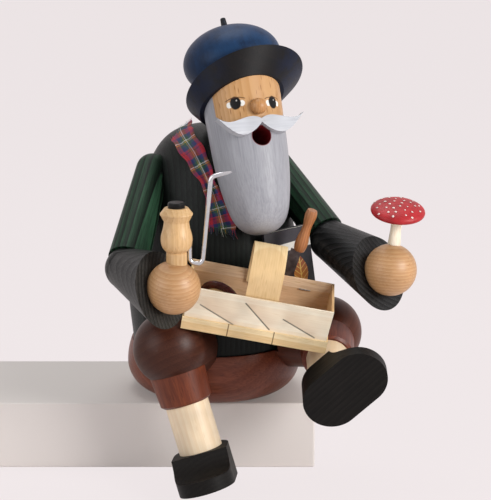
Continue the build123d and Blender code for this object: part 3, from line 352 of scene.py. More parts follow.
def porePaint(look):
    tree, shader, stain = paintedBase("stain_bolete_caps")
    local = ownPlace(tree, look["centre"], rowsOf(look["axis"]))
    x, y, z = apart(tree, local)
    cells = putNode(tree, "ShaderNodeTexVoronoi", {"Vector": local, "Scale": look["holes"]})
    pore = ramp(tree, cells.outputs["Distance"], [(0.1, look["dark"]), (0.45, look["colour"])])
    flat = softStep(tree, sizeOf(tree, z), *look["depth"])
    below = times(tree, flat, within(tree, distance(tree, x, y), look["reach"], look["soft"]))
    tree.links.new(blendColours(tree, below, stain, pore), shader.inputs["Base Color"])


porePaint(pores)

# head: bare face above the moustache, grey hair and beard, painted eyes
headLook = {
    "centre": (20.3, -43.0, 215.6), "side": (0.927, 0.3745, 0.0206), "out": (0.3402, -0.8626, 0.3744),
    "down": (0.158, -0.34, -0.927), "radius": 27.0, "wobble": 0.5, "wobbleScale": 0.35, "soft": 0.4,
    "wood": looks(wood, heart=(30, 60, 0), rings=2.6, wander=1.0, fine=1.0, fleckSize=0.62, fleckAmount=0.8),
    "faceHalfArc": 31.5, "faceFoot": 20.0, "cheek": 13.0, "cheekRise": 0.022,
    "face": "#cda172", "faceLate": "#c0915f", "fleck": "#8f5f35",
    "hair": "#8f9097", "hairLight": "#a7a8af", "lockStretch": 0.08, "lockScale": 0.16,
    "lockEdge": (0.35, 0.7), "lockAmount": 0.5,
    "mouthPlace": 30.8, "mouthRadius": 6.9, "mouthEdge": (0.25, -0.1), "mouthFront": -12.0,
    "mouth": "#7a2226",
    "eyes": ((-14.8, 6.7), (13.2, 8.3)), "pupil": (3.8, 4.4), "pupilSoft": 0.1, "ink": "#030303",
    "white": (2.0, 2.0), "whiteReach": 4.5, "whiteDrop": 0.7, "whiteSoft": 0.16, "eyeWhite": "#f3f1ec",
    "lidReach": 7.6, "lidTaper": 1.2, "lidRise": 3.7, "lidArch": 0.03, "lidEdge": (0.5, 0.2),
    "lidAmount": 0.8, "lid": "#4a2d1c", "glint": (0.55, 0.55), "glintShift": (1.0, -1.6), "glintAmount": 0.5,
    "rough": (0.3, 0.42), "shine": 0.22, "fibreRelief": 0.7, "ringRelief": 0.15, "bump": 0.3, "depth": 0.2,
}
headRows = Matrix((headLook["side"], headLook["out"], headLook["down"]))


def spot(tree, u, v, centre, radii, soft):
    # an oval of paint, 1 inside
    du = sums(tree, "DIVIDE", sums(tree, "SUBTRACT", u, centre[0]), radii[0])
    dv = sums(tree, "DIVIDE", sums(tree, "SUBTRACT", v, centre[1]), radii[1])
    return within(tree, distance(tree, du, dv), 1, soft)


def eyePaint(tree, look, colour, u, v):
    for place, drop in look["eyes"]:
        for way in (-1, 1):
            corner = (place + way * look["whiteReach"], drop + look["whiteDrop"])
            patch = spot(tree, u, v, corner, look["white"], look["whiteSoft"])
            colour = blendColours(tree, patch, colour, look["eyeWhite"])
        pupil = spot(tree, u, v, (place, drop), look["pupil"], look["pupilSoft"])
        colour = blendColours(tree, pupil, colour, look["ink"])
        along = sums(tree, "SUBTRACT", u, place)
        arch = sums(tree, "ADD", times(tree, along, along, look["lidArch"]), drop - look["lidRise"])
        line = softStep(tree, sizeOf(tree, sums(tree, "SUBTRACT", v, arch)), *look["lidEdge"])
        reach = softStep(tree, sizeOf(tree, along), look["lidReach"], look["lidReach"] - look["lidTaper"])
        colour = blendColours(tree, times(tree, line, reach, look["lidAmount"]), colour, look["lid"])
        # a painted highlight: a small white glint on each pupil
        shift = look["glintShift"]
        glint = spot(tree, u, v, (place + shift[0], drop + shift[1]), look["glint"], look["whiteSoft"])
        colour = blendColours(tree, times(tree, glint, look["glintAmount"]), colour, look["eyeWhite"])
    return colour


def headPaint(look):
    material, tree, shader = freshMaterial("head_paint")
    local = ownPlace(tree, look["centre"], headRows)
    x, y, z = apart(tree, local)
    # u runs round the head and v down it, both in millimetres, with the wobble of a brush
    wobble = sums(tree, "SUBTRACT", noise(tree, local, look["wobbleScale"], 2.0), 0.5)
    arc = times(tree, sums(tree, "ARCTAN2", x, y), look["radius"])
    u = sums(tree, "MULTIPLY_ADD", wobble, look["wobble"], arc)
    v = sums(tree, "MULTIPLY_ADD", wobble, look["wobble"], z)
    rings, fine = growthRings(tree, local, look["wood"]), fibres(tree, local, look["wood"])
    skin = ramp(tree, rings, [(0.0, look["face"]), (0.85, look["faceLate"]), (1.0, look["face"])])
    skin = blendColours(tree, flecks(tree, local, look["wood"]), skin, look["fleck"])
    hair = ramp(tree, fine, [(0.32, look["hair"]), (0.68, look["hairLight"])])
    locks = noise(tree, stretched(tree, local, (1, 1, look["lockStretch"])), look["lockScale"], 2.0)
    locks = times(tree, softStep(tree, locks, *look["lockEdge"]), look["lockAmount"])
    hair = blendColours(tree, locks, hair, look["hairLight"])
    aside = sizeOf(tree, u)
    flank = sums(tree, "MAXIMUM", sums(tree, "SUBTRACT", aside, look["cheek"]), 0.0)
    foot = sums(tree, "MULTIPLY_ADD", times(tree, flank, flank), look["cheekRise"], v)
    faceMask = times(tree, within(tree, aside, look["faceHalfArc"], look["soft"]),
                     within(tree, foot, look["faceFoot"], look["soft"]))
    colour = eyePaint(tree, look, blendColours(tree, faceMask, hair, skin), u, v)
    bore = distance(tree, x, sums(tree, "SUBTRACT", z, look["mouthPlace"]))
    mouth = softStep(tree, bore, *(look["mouthRadius"] + edge for edge in look["mouthEdge"]))
    mouth = times(tree, mouth, sums(tree, "GREATER_THAN", y, look["mouthFront"]))
    tree.links.new(blendColours(tree, mouth, colour, look["mouth"]), shader.inputs["Base Color"])
    roughFrom(tree, shader, fine, *look["rough"])
    shader.inputs["Specular IOR Level"].default_value = look["shine"]
    ribs = times(tree, rings, look["ringRelief"])
    relief = sums(tree, "ADD", times(tree, fine, look["fibreRelief"]), ribs)
    bumpFrom(tree, shader, relief, look["bump"], look["depth"])
    return material


dress("head", headPaint(headLook))

# the cap's stain: the brim turns navy towards both sides; the crown is painted lighter in front, a painted
# highlight
capTintsAndHighlight = {
    "cap_brim": {"axis": 0, "bothSides": True, "tintAndHighlight": "#0c1830", "reach": (12.0, 34.0), "amount": 0.8},
    # the crown's lighter front is a painted highlight, not wear
    "cap_crown": {"axis": 1, "bothSides": False, "tintAndHighlight": "#20436a", "reach": (-6.0, 22.0), "amount": 0.5},
}
capCloud = {"scale": 0.09, "edge": (0.25, 0.6)}


def capStainAndHighlight(node, look):
    tree, shader, stain = paintedBase("stain_" + node)
    local = ownPlace(tree, headLook["centre"], headRows)
    place = apart(tree, local)[look["axis"]]
    if look["bothSides"]:
        place = sizeOf(tree, place)
    cloud = softStep(tree, noise(tree, local, capCloud["scale"], 3.0), *capCloud["edge"])
    # on the brim this blends in the navy stain, on the crown a painted highlight towards the front
    amount = times(tree, softStep(tree, place, *look["reach"]), look["amount"], cloud)
    tree.links.new(blendColours(tree, amount, stain, look["tintAndHighlight"]), shader.inputs["Base Color"])


for node, look in capTintsAndHighlight.items():
    capStainAndHighlight(node, look)

# white moustache, its grain from tip to tip
white = looks(bare, grain=headLook["side"], early="#c0c2c8", late="#b8bbc2", streakColour="#a6a9b2",
              streak=0.45, fleckColour=None, rings=5.0, rough=0.45, heart=(0, 40, 0))
dress("moustache", stainedWood("moustache_white", (30, -70, 197), white))
print("head painted")

# basket: split chip wood, with a band round its base and a bent handle
basketLook = {
    "origin": (28.691, -80.025, 65.087), "along": (0.9833, 0.0, -0.1822), "back": (0.0464, 0.967, 0.2505),
    "up": (0.1762, -0.2548, 0.9508),
    "bandJoints": (-18.0, 13.0), "seamHalf": 0.35, "seamEdge": (0.15, -0.1), "seamAmount": 0.85,
    "seam": "#6d4e2b",
    "slits": (((-39.5, 21.0), (-15.0, 9.5)), ((-9.8, 28.5), (9.5, 10.5)), ((16.8, 21.0), (40.5, 10.5))),
    # slitShade is a painted shadow in each slit, lee a soft painted shade beside it
    "slitShift": 0.1, "slitEdge": (0.8, 0.2), "slitEnds": 0.4, "slitAmount": 0.7, "slitShade": "#5b5a58",
    "leeReach": 15.0, "leeEnds": 5.0, "leeAmount": 0.45, "lee": "#cfae8c",
}
basketRows = Matrix((basketLook["along"], basketLook["back"], basketLook["up"]))
chip = looks(wood, grain=basketLook["along"], side=basketLook["up"], heart=(0, 160, 40), rings=3.2,
             early="#efdcb2", late="#e2c591", edge=0.85, streakColour="#d3b179", streak=0.45, rough=0.62,
             groove=0.3, pore=0.8, bump=0.4, depth=0.2, wander=1.8, fleckColour="#c59f66", fleckAmount=0.35,
             shine=0.3, fine=1.6)
# the front is palest and the back, the ends and the floor darker and browner: partly the chips' own tone,
# partly painted light on the lit front and painted shade on the inside
chipPieces = {
    "basket_front": looks(chip, early="#fbf1dc", late="#f7e9d0", streakColour="#ecd9b9", streak=0.3,
                          fleckAmount=0.12),
    "basket_back": looks(chip, early="#efd3b2", late="#e2bd95", streakColour="#c59872", fleckAmount=0.5),
    "basket_left_end": looks(chip, grain=basketLook["back"], early="#e4c394", late="#d2a878",
                             streakColour="#b08356"),
    "basket_right_end": looks(chip, grain=basketLook["back"], early="#e6cc9c", late="#d9b67f"),
    "basket_floor": looks(chip, early="#d8b487", late="#c79c6b"),
    "basket_base_band": looks(chip, early="#f3dfb6", late="#e7c998"),
    "basket_handle": looks(chip, grain=basketLook["up"], side=basketLook["along"], bent=0.04,
                           early="#f1d7a8", late="#e6c695", streakColour="#d3ae78"),
}
for node, look in chipPieces.items():
    dress(node, stainedWood("chip_" + node, basketLook["origin"], look))


def seamLines(look):
    # the band is pieced together, with a thin dark seam at each joint
    tree, shader, colour = paintedBase("chip_basket_base_band")
    along = apart(tree, ownPlace(tree, look["origin"], basketRows))[0]
    for joint in look["bandJoints"]:
        off = sizeOf(tree, sums(tree, "SUBTRACT", along, joint))
        line = softStep(tree, off, *(look["seamHalf"] + edge for edge in look["seamEdge"]))
        colour = blendColours(tree, times(tree, line, look["seamAmount"]), colour, look["seam"])
    tree.links.new(colour, shader.inputs["Base Color"])


def slitShades(look):
    # each splint has a thin painted shadow line along its slit, and a soft painted shade on the high side of
    # it
    tree, shader, colour = paintedBase("chip_basket_front")
    place = apart(tree, ownPlace(tree, look["origin"], basketRows))
    for (x0, z0), (x1, z1) in look["slits"]:
        length = math.hypot(x1 - x0, z1 - z0)
        ex, ez = (x1 - x0) / length, (z1 - z0) / length
        dx, dz = sums(tree, "SUBTRACT", place[0], x0), sums(tree, "SUBTRACT", place[2], z0)
        run = sums(tree, "ADD", times(tree, dx, ex), times(tree, dz, ez))
        off = sums(tree, "SUBTRACT", times(tree, dz, ex), times(tree, dx, ez))
        # painted shade, fading out across the high side of the slit
        high = times(tree, softStep(tree, off, look["leeReach"], 0.0), sums(tree, "GREATER_THAN", off, 0.0))
        beside = between(tree, run, 0, length, look["leeEnds"])
        colour = blendColours(tree, times(tree, high, beside, look["leeAmount"]), colour, look["lee"])
        # a painted shadow line along the slit
        near = softStep(tree, sizeOf(tree, sums(tree, "ADD", off, look["slitShift"])), *look["slitEdge"])
        inside = between(tree, run, 0, length, look["slitEnds"])
        colour = blendColours(tree, times(tree, near, inside, look["slitAmount"]), colour, look["slitShade"])
    tree.links.new(colour, shader.inputs["Base Color"])


seamLines(basketLook)
slitShades(basketLook)
print("basket done")

# metals: polished wire, dark knife blade, brass plate
metals = {
    "pipe_stem": {"colour": "#cfd0d2", "worn": "#c2c4c7", "rough": 0.16, "scale": 0.5},
    "basket_staple": {"colour": "#b5b2ad", "worn": "#8f8b86", "rough": 0.34, "scale": 0.9},
    "knife_blade": {"colour": "#6a6263", "worn": "#4d4748", "rough": 0.4, "scale": 0.35},
    "incense_plate": {"colour": "#c9a050", "worn": "#9b7433", "rough": 0.3, "scale": 0.25},
    "plate_screw": {"colour": "#c9a050", "worn": "#8f6b2f", "rough": 0.34, "scale": 0.5},
}
brushed = {"lineStretch": 0.06, "lineScale": 6, "patchScale": 0.5, "smoother": 0.06, "rougher": 0.12,
           "bump": 0.15, "depth": 0.05}


def brushedMetal(name, look):
    material, tree, shader = freshMaterial(name)
    local = stretched(tree, objectPlace(tree), (1 / mm, 1 / mm, 1 / mm))
    long = stretched(tree, local, (1, 1, brushed["lineStretch"]))
    lines = noise(tree, long, look["scale"] * brushed["lineScale"], 4.0)
    patches = noise(tree, local, look["scale"] * brushed["patchScale"], 3.0)
    colour = ramp(tree, patches, [(0.35, look["worn"]), (0.62, look["colour"])])
    tree.links.new(colour, shader.inputs["Base Color"])
    shader.inputs["Metallic"].default_value = 1.0
    roughFrom(tree, shader, lines, look["rough"] - brushed["smoother"], look["rough"] + brushed["rougher"])
    bumpFrom(tree, shader, lines, brushed["bump"], brushed["depth"])
    return material


for node, look in metals.items():
    dress(node, brushedMetal("metal_" + node, look))

# pocket book: dark boards, a pale panel and a leaf on the front, page edges in fine layers
book = {
    "place": (72.4275, -41.1074, 69.4), "across": (0.9305, 0.3387, 0.1392), "out": (0.342, -0.9397, 0.0),
    "board": "#191a20", "boardLight": "#2a2530", "cloud": 0.12, "rough": (0.35, 0.5), "coat": 0.4,
    "coatRough": 0.2, "bump": 0.1, "depth": 0.1,
    "panelFoot": 47.0, "panelTop": 52.5, "panelSlope": -0.06, "panelSoft": 0.2, "panel": "#e9e6df",
    "leafSpot": (-9.5, 29.0), "leafHalf": (5.2, 12.5), "leafSoft": 0.15, "leaf": "#d98b2b",
    "leafDark": "#8f3d1f",
    "midRib": (0.5, 0.2), "sideRib": (0.09, 0.04), "ribsPerMm": 0.24, "veinAmount": 0.8, "vein": "#f3cf6a",
    "page": "#f2eee3", "pageDark": "#cfc8b8", "layerStretch": 0.02, "layers": 3.4, "pageRough": (0.7, 0.85),
    "pageBump": 0.5, "pageDepth": 0.2,
}
bookRows = Matrix((book["across"], Vector(book["out"]).cross(Vector(book["across"])), book["out"]))


def leafPaint(tree, look, colour, u, v):
    middle, half = look["leafSpot"], look["leafHalf"]
    du = sums(tree, "SUBTRACT", u, middle[0])
    aside = sizeOf(tree, du)
    dv = sums(tree, "DIVIDE", sums(tree, "SUBTRACT", v, middle[1]), half[1])
    edge = times(tree, sums(tree, "SUBTRACT", 1.0, times(tree, dv, dv)), half[0])
    leaf = softStep(tree, sums(tree, "SUBTRACT", edge, aside), -look["leafSoft"], look["leafSoft"])
    rise = sums(tree, "MULTIPLY_ADD", dv, 0.5, 0.5)
    tone = ramp(tree, rise, [(0.1, look["leaf"]), (0.9, look["leafDark"])])
    colour = blendColours(tree, leaf, colour, tone)
    midRib = softStep(tree, aside, *look["midRib"])
    ribs = sums(tree, "FRACT", times(tree, sums(tree, "SUBTRACT", v, aside), look["ribsPerMm"]))
    sideRib = softStep(tree, sizeOf(tree, sums(tree, "SUBTRACT", ribs, 0.5)), *look["sideRib"])
    veins = times(tree, sums(tree, "MAXIMUM", midRib, sideRib), leaf, look["veinAmount"])
    return blendColours(tree, veins, colour, look["vein"])


def bookBoards(look):
    material, tree, shader = freshMaterial("book_boards")
    local = ownPlace(tree, look["place"], bookRows)
    axes = apart(tree, local)
    u, v = axes[0], axes[1]
    cloud = noise(tree, local, look["cloud"], 3.0)
    colour = ramp(tree, cloud, [(0.35, look["board"]), (0.68, look["boardLight"])])
    height = sums(tree, "MULTIPLY_ADD", u, look["panelSlope"], v)
    panel = between(tree, height, look["panelFoot"], look["panelTop"], look["panelSoft"])
    colour = leafPaint(tree, look, blendColours(tree, panel, colour, look["panel"]), u, v)
    tree.links.new(colour, shader.inputs["Base Color"])
    shader.inputs["Coat Weight"].default_value = look["coat"]
    shader.inputs["Coat Roughness"].default_value = look["coatRough"]
    roughFrom(tree, shader, cloud, *look["rough"])
    bumpFrom(tree, shader, cloud, look["bump"], look["depth"])
    return material


def pageEdges(look):
    material, tree, shader = freshMaterial("book_pages_paper")
    local = ownPlace(tree, look["place"], bookRows)
    thin = stretched(tree, local, (look["layerStretch"], look["layerStretch"], 1))
    layers = noise(tree, thin, look["layers"], 3.0)
    colour = ramp(tree, layers, [(0.3, look["pageDark"]), (0.65, look["page"])])
    tree.links.new(colour, shader.inputs["Base Color"])
    roughFrom(tree, shader, layers, *look["pageRough"])
    bumpFrom(tree, shader, layers, look["pageBump"], look["pageDepth"])
    return material


dress("book_cover", bookBoards(book))
dress("book_pages", pageEdges(book))
print("metals and book done")

# toadstool: red lacquer above, gills below with painted shade in the grooves between them, raised white dots
toadstool = {
    "seat": (125.79, -73.12, 142.37), "lean": (0.06, -0.24, 0.97), "capRadius": 18.5, "red": "#b3242a",
    "redDark": "#951a20", "cloud": 0.12, "rough": (0.4, 0.52), "shine": 0.35, "gills": 44.0,
    "gillTop": (0.3, 0.1), "gill": "#efe4cf", "gillGrooveShade": "#cbb999", "gillBump": 0.5, "gillDepth": 0.4,
    "dots": 34, "seed": 11,
    "dotSizes": (0.6, 0.9), "dotReach": 0.95, "dotTurn": 2.39996, "dotStray": 0.12, "dotAbove": 60.0,
    "dotFacing": 0.12, "dotOval": (0.85, 1.15), "dotFlat": 0.32, "dotCut": -0.1, "dotRound": (14, 8),
    "dotSmooth": 40.0,
}


def toadstoolLacquer(look):
    material, tree, shader = freshMaterial("toadstool_lacquer")
    local = ownPlace(tree, look["seat"], rowsOf(look["lean"]))
    x, y, z = apart(tree, local)
    cloud = noise(tree, local, look["cloud"], 3.0)
    red = ramp(tree, cloud, [(0.3, look["redDark"]), (0.65, look["red"])])
    # the gills are a bump only; the colour turns darker in the bumped grooves as painted shade
    comb = sums(tree, "SINE", times(tree, sums(tree, "ARCTAN2", y, x), look["gills"]))
    rise = sums(tree, "MULTIPLY_ADD", comb, 0.5, 0.5)
    gill = ramp(tree, rise, [(0.2, look["gillGrooveShade"]), (0.7, look["gill"])])
    below = softStep(tree, z, *look["gillTop"])
    tree.links.new(blendColours(tree, below, red, gill), shader.inputs["Base Color"])
    roughFrom(tree, shader, cloud, *look["rough"])
    shader.inputs["Specular IOR Level"].default_value = look["shine"]
    bumpFrom(tree, shader, times(tree, comb, below), look["gillBump"], look["gillDepth"])
    return material


def makeDot(look, point, normal, size, oval):
    # a flat button of paint that stands on the cap
    segments, rings = look["dotRound"]
    bpy.ops.object.select_all(action="DESELECT")
    bpy.ops.mesh.primitive_uv_sphere_add(segments=segments, ring_count=rings, radius=size)
    dot = bpy.context.object
    bpy.ops.object.mode_set(mode="EDIT")
    bpy.ops.mesh.select_all(action="SELECT")
    cut = (0, 0, look["dotCut"] * size)
    bpy.ops.mesh.bisect(plane_co=cut, plane_no=(0, 0, 1), clear_inner=True, use_fill=True)
    bpy.ops.mesh.select_all(action="SELECT")
    bpy.ops.transform.resize(value=(*oval, look["dotFlat"]))
    bpy.ops.object.mode_set(mode="OBJECT")
    turned = normal.to_track_quat("Z", "Y").to_matrix().to_4x4()
    dot.data.transform(Matrix.Translation(point) @ turned)
    return dot


def makeDots(look):
    cap = nodes["toadstool_cap"]
    lean = Vector(look["lean"]).normalized()
    rows = rowsOf(look["lean"]).transposed()
    rng = random.Random(look["seed"])
    made = []
    for i in range(look["dots"]):
        far = math.sqrt((i + 0.5) / look["dots"]) * look["dotReach"] * look["capRadius"]
        turn = i * look["dotTurn"] + rng.uniform(-look["dotStray"], look["dotStray"])
        above = Vector((far * math.cos(turn), far * math.sin(turn), look["dotAbove"]))
        hit, point, normal = cap.ray_cast((Vector(look["seat"]) + rows @ above) * mm, -lean)[:3]
        if not hit or normal.dot(lean) < look["dotFacing"]:
            continue
        size = rng.uniform(*look["dotSizes"]) * mm
        oval = (rng.uniform(*look["dotOval"]), rng.uniform(*look["dotOval"]))
        made.append(makeDot(look, point, normal, size, oval))
    bpy.ops.object.select_all(action="DESELECT")
    for dot in made:
        dot.select_set(True)
    bpy.context.view_layer.objects.active = made[0]
    bpy.ops.object.join()
    piece = bpy.context.object
    piece.name = "toadstoolDots"
    bpy.ops.object.shade_smooth_by_angle(angle=math.radians(look["dotSmooth"]))
    return piece


dress("toadstool_cap", toadstoolLacquer(toadstool))
dots = makeDots(toadstool)
dotWhite = looks(white, grain=(0, 0, 1), early="#f2dfd6", late="#e8d2c8")
dots.data.materials.clear()
dots.data.materials.append(stainedWood("dot_white", (124, -74, 148), dotWhite))
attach(dots, "upper_body")
print("toadstool dotted")

# scarf: a tartan ribbon over the right shoulder, pinched in the middle and frayed at both ends
ribbon = {
    "route": (  # middle of the ribbon, the way outwards, width shown
        ((-23.25, -10.35, 192.98), (-0.342, -0.152, 0.927), 18.5),
        ((-22.26, -16.18, 189.29), (-0.369, -0.268, 0.89), 18.0),
        ((-19.34, -25.67, 185.55), (-0.366, -0.486, 0.793), 16.5),
        ((-12.73, -36.96, 177.98), (-0.264, -0.768, 0.584), 15.5),
        ((-6.97, -44.03, 168.43), (-0.142, -0.894, 0.426), 13.5),
        ((-2.14, -49.11, 158.73), (-0.041, -0.942, 0.332), 9.5),
        ((0.9, -51.28, 150.84), (0.017, -0.958, 0.286), 11.5),
        ((3.73, -53.34, 142.25), (0.067, -0.965, 0.253), 15.5),
        ((6.26, -55.79, 133.54), (0.109, -0.968, 0.227), 17.5),
        ((7.58, -58.33, 126.53), (0.126, -0.971, 0.203), 18.5)),
    "cutWidth": 18.8, "cutSide": -1, "startCut": 1.7, "endCut": 0.75, "thickness": 0.35, "lift": 0.35,
    "across": 40, "steps": 14, "nudge": 0.05,
    "pleats": 2.5, "pleatEase": 1.25, "pleatStray": 0.06, "pleatTurn": 1.7,
    "curl": 0.7, "curlTurn": 2.3, "curlAcross": 5.0, "fray": 0.07, "frayTurn": 4.7, "frayShift": 1.6,
    "hem": 1.3, "hemStart": 0.4, "hemTurn": 3.1, "hemShift": 2.0,
    "seed": 5, "fringe": (3.2, 6.5), "strands": 30, "strandShort": 0.4, "strandBend": (0.3, 0.2, 0.2),
    "strandParts": 3, "strandHalf": 0.2, "strandTaper": 0.55, "strandRoot": 0.25, "strandLift": 0.18,
    "strandFoot": -0.1, "strandRidge": 0.9,
    "sett": 18.8, "settAlong": 16.5, "settShift": 0.5, "settAlongShift": 0.1, "thread": 0.36,
    "twillEdge": (0.17, 0.33),
    "stripes": ((0.0, "red"), (0.17, "navy"), (0.33, "green"), (0.45, "white"), (0.49, "green"),
                (0.52, "yellow"), (0.55, "green"), (0.66, "navy"), (0.82, "red"), (0.90, "redDark"),
                (0.93, "red")),
    "red": "#b8142f", "redDark": "#6d0a1e", "navy": "#162360", "green": "#1d4d33", "white": "#efeae0",
    "yellow": "#d3ac38", "slack": 0.9, "slackShade": (0.8, 1.15), "rough": (0.62, 0.8), "sheen": 0.25,
    "bump": 0.35, "depth": 0.12,
}
routeSpans = len(ribbon["route"]) - 1
routeEnd = routeSpans - 0.001


def smoothRow(rows, t):
    # a curve through the route's points, with the way outwards and the width along with it
    i = min(int(t), len(rows) - 2)
    f = t - i
    pick = [rows[max(0, min(len(rows) - 1, i + k))] for k in (-1, 0, 1, 2)]
    f2, f3 = f * f, f * f * f
    weights = (-0.5 * f3 + f2 - 0.5 * f, 1.5 * f3 - 2.5 * f2 + 1,
               -1.5 * f3 + 2 * f2 + 0.5 * f, 0.5 * f3 - 0.5 * f2)
    place = sum((Vector(p[0]) * k for p, k in zip(pick, weights)), Vector())
    out = sum((Vector(p[1]) * k for p, k in zip(pick, weights)), Vector()).normalized()
    return place, out, sum(p[2] * k for p, k in zip(pick, weights))


def ribbonPoint(look, t, c):
    # c runs from -0.5 to 0.5 across; where the ribbon is pinched its spare width stands up in pleats
    place, out, width = smoothRow(look["route"], t)
    ahead = smoothRow(look["route"], min(t + look["nudge"], routeEnd))[0]
    behind = smoothRow(look["route"], max(t - look["nudge"], 0.0))[0]
    along = (ahead - behind).normalized()
    side = along.cross(out).normalized()
    far = 1 if c > 0 else 0
    spare = max(look["cutWidth"] / width - 1, 0.0)
    height = math.sqrt(spare) * width / (math.pi * look["pleats"] * look["pleatEase"])
    stray = look["pleatStray"] * math.sin(t * look["pleatTurn"])
    wave = 0.5 + 0.5 * math.cos(2 * math.pi * look["pleats"] * (c + stray))
    curl = max(look["curl"] * math.sin(t * look["curlTurn"] + c * look["curlAcross"]), 0)
    frayed = width * (1 + look["fray"] * math.sin(t * look["frayTurn"] + far * look["frayShift"]))
    sway = 1 + math.sin(t * look["hemTurn"] + far * look["hemShift"])
    hem = look["hem"] * max(abs(c) - look["hemStart"], 0) * sway
    return place + side * (c * frayed) + out * (look["lift"] + height * wave + curl + hem), out, along


def ribbonEnds(look, c):
    # both ends are cut on the slant
    slant = 0.5 - c * look["cutSide"]
    return look["startCut"] * slant, routeEnd - look["endCut"] * slant


def meshPiece(name, points, faces, uvs):
    mesh = bpy.data.meshes.new(name)
    mesh.from_pydata(points, [], faces)
    layer = mesh.uv_layers.new(name="weave")
    for loop in mesh.loops:
        layer.data[loop.index].uv = uvs[loop.vertex_index]
    piece = bpy.data.objects.new(name, mesh)
    bpy.context.scene.collection.objects.link(piece)
    bpy.ops.object.select_all(action="DESELECT")
    piece.select_set(True)
    bpy.context.view_layer.objects.active = piece
    return piece


def makeRibbon(look):
    rows, across = routeSpans * look["steps"], look["across"]
    middles = [smoothRow(look["route"], min(r / look["steps"], routeEnd))[0] for r in range(rows + 1)]
    run = sum((b - a).length for a, b in zip(middles, middles[1:]))
    points, faces, uvs = [], [], []
    for r in range(rows + 1):
        for a in range(across + 1):
            c = a / across - 0.5
            first, final = ribbonEnds(look, c)
            t = first + (final - first) * r / rows
            points.append(ribbonPoint(look, t, c)[0] * mm)
            uvs.append((c * look["cutWidth"], run * t / routeSpans))
    for r in range(rows):
        for a in range(across):
            i = r * (across + 1) + a
            faces.append((i, i + 1, i + across + 2, i + across + 1))
    piece = meshPiece("scarfCloth", points, faces, uvs)
    bpy.ops.object.shade_smooth()
    thick = piece.modifiers.new("thick", "SOLIDIFY")
    thick.thickness = look["thickness"] * mm
    thick.offset = 1.0
    bpy.ops.object.modifier_apply(modifier="thick")
    return piece, run


def makeFringe(look, run):
    # loose threads, each a three-sided tapering strand
    rng = random.Random(look["seed"])
    points, faces, uvs = [], [], []
    parts = look["strandParts"]
    for pick, way in ((0, -1), (1, 1)):
        for k in range(look["strands"]):
            c = (k + 0.5) / look["strands"] - 0.5
            t = ribbonEnds(look, c)[pick]
            root, out, along = ribbonPoint(look, t, c)
            side = along.cross(out)
            length = look["fringe"][pick] * rng.uniform(look["strandShort"], 1.0)
            bend = Vector([rng.uniform(-most, most) for most in look["strandBend"]])
            start = len(points)
            for s in range(parts + 1):
                f = s / parts
                reach = along * way * (length * f - look["strandRoot"])
                middle = root + reach + bend * f * f * length + out * look["strandLift"]
                half = look["strandHalf"] * (1 - look["strandTaper"] * f)
                foot, ridge = look["strandFoot"], half * look["strandRidge"]
                for dx, dn in ((-half, foot), (half, foot), (0.0, ridge)):
                    points.append((middle + side * dx + out * dn) * mm)
                    uvs.append((c * look["cutWidth"], run * t / routeSpans))
            for s in range(parts):
                for j in range(3):
                    i, n = start + s * 3 + j, start + s * 3 + (j + 1) % 3
                    faces.append((i, n, n + 3, i + 3))
            tip = start + parts * 3
            faces.append((start, start + 2, start + 1))
            faces.append((tip, tip + 1, tip + 2))
    piece = meshPiece("scarfFringe", points, faces, uvs)
    bpy.ops.object.mode_set(mode="EDIT")
    bpy.ops.mesh.select_all(action="SELECT")
    bpy.ops.mesh.normals_make_consistent(inside=False)
    bpy.ops.object.mode_set(mode="OBJECT")
    bpy.ops.object.shade_smooth()
    return piece


def tartan(look):
    material, tree, shader = freshMaterial("ribbon_tartan")
    uv = putNode(tree, "ShaderNodeUVMap", uv_map="weave").outputs[0]
    axes = apart(tree, uv)
    u, v = axes[0], axes[1]
    stripes = [(place, look[colour]) for place, colour in look["stripes"]]

    def threads(value, repeat, shift):
        part = sums(tree, "FRACT", sums(tree, "ADD", sums(tree, "DIVIDE", value, repeat), shift))
        return ramp(tree, part, stripes, "CONSTANT")

    warp = threads(u, look["sett"], look["settShift"])
    weft = threads(v, look["settAlong"], look["settAlongShift"])
    diagonal = times(tree, sums(tree, "ADD", u, v), 1 / (look["thread"] * 2))
    over = softStep(tree, sums(tree, "PINGPONG", diagonal, 0.5), *look["twillEdge"])
    slack = noise(tree, uv, look["slack"], 2.0)
    cloth = mottled(tree, blendColours(tree, over, warp, weft), slack, *look["slackShade"])
    tree.links.new(cloth, shader.inputs["Base Color"])
    roughFrom(tree, shader, slack, *look["rough"])
    shader.inputs["Sheen Weight"].default_value = look["sheen"]
    rib = sums(tree, "SINE", times(tree, diagonal, math.tau))
    bumpFrom(tree, shader, rib, look["bump"], look["depth"])
    return material


scarfCloth, scarfRun = makeRibbon(ribbon)
fringe = makeFringe(ribbon, scarfRun)
tartanCloth = tartan(ribbon)
for piece in (scarfCloth, fringe):
    piece.data.materials.append(tartanCloth)
    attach(piece, "upper_body")
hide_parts("scarf")
print("scarf laid, length", round(scarfRun, 1), "mm")

# stage, its sizes in metres: a plain pale floor and step
stage = {
    "floorHeight": -0.0478, "floorSize": 14, "floorMiddle": (0, 3), "floorColour": "#f1e9ea",
    "floorOwn": 0.93,
    "stepColour": "#e3dcd8", "stepOwn": 0.15, "stepFront": -0.0435, "stepBack": 0.0646, "stepStart": -0.6,
    "stepEnd": 0.072, "stepEdge": 0.0012, "cloud": 0.006, "cloudShade": 0.985, "rough": 0.9, "shine": 0.1,
}


def seenRay(tree):
    # 1 for what the eye, a mirror or a glass sees
    rays = putNode(tree, "ShaderNodeLightPath").outputs
    mirrored = sums(tree, "MAXIMUM", rays["Is Glossy Ray"], rays["Is Transmission Ray"])
    return sums(tree, "MAXIMUM", rays["Is Camera Ray"], mirrored)


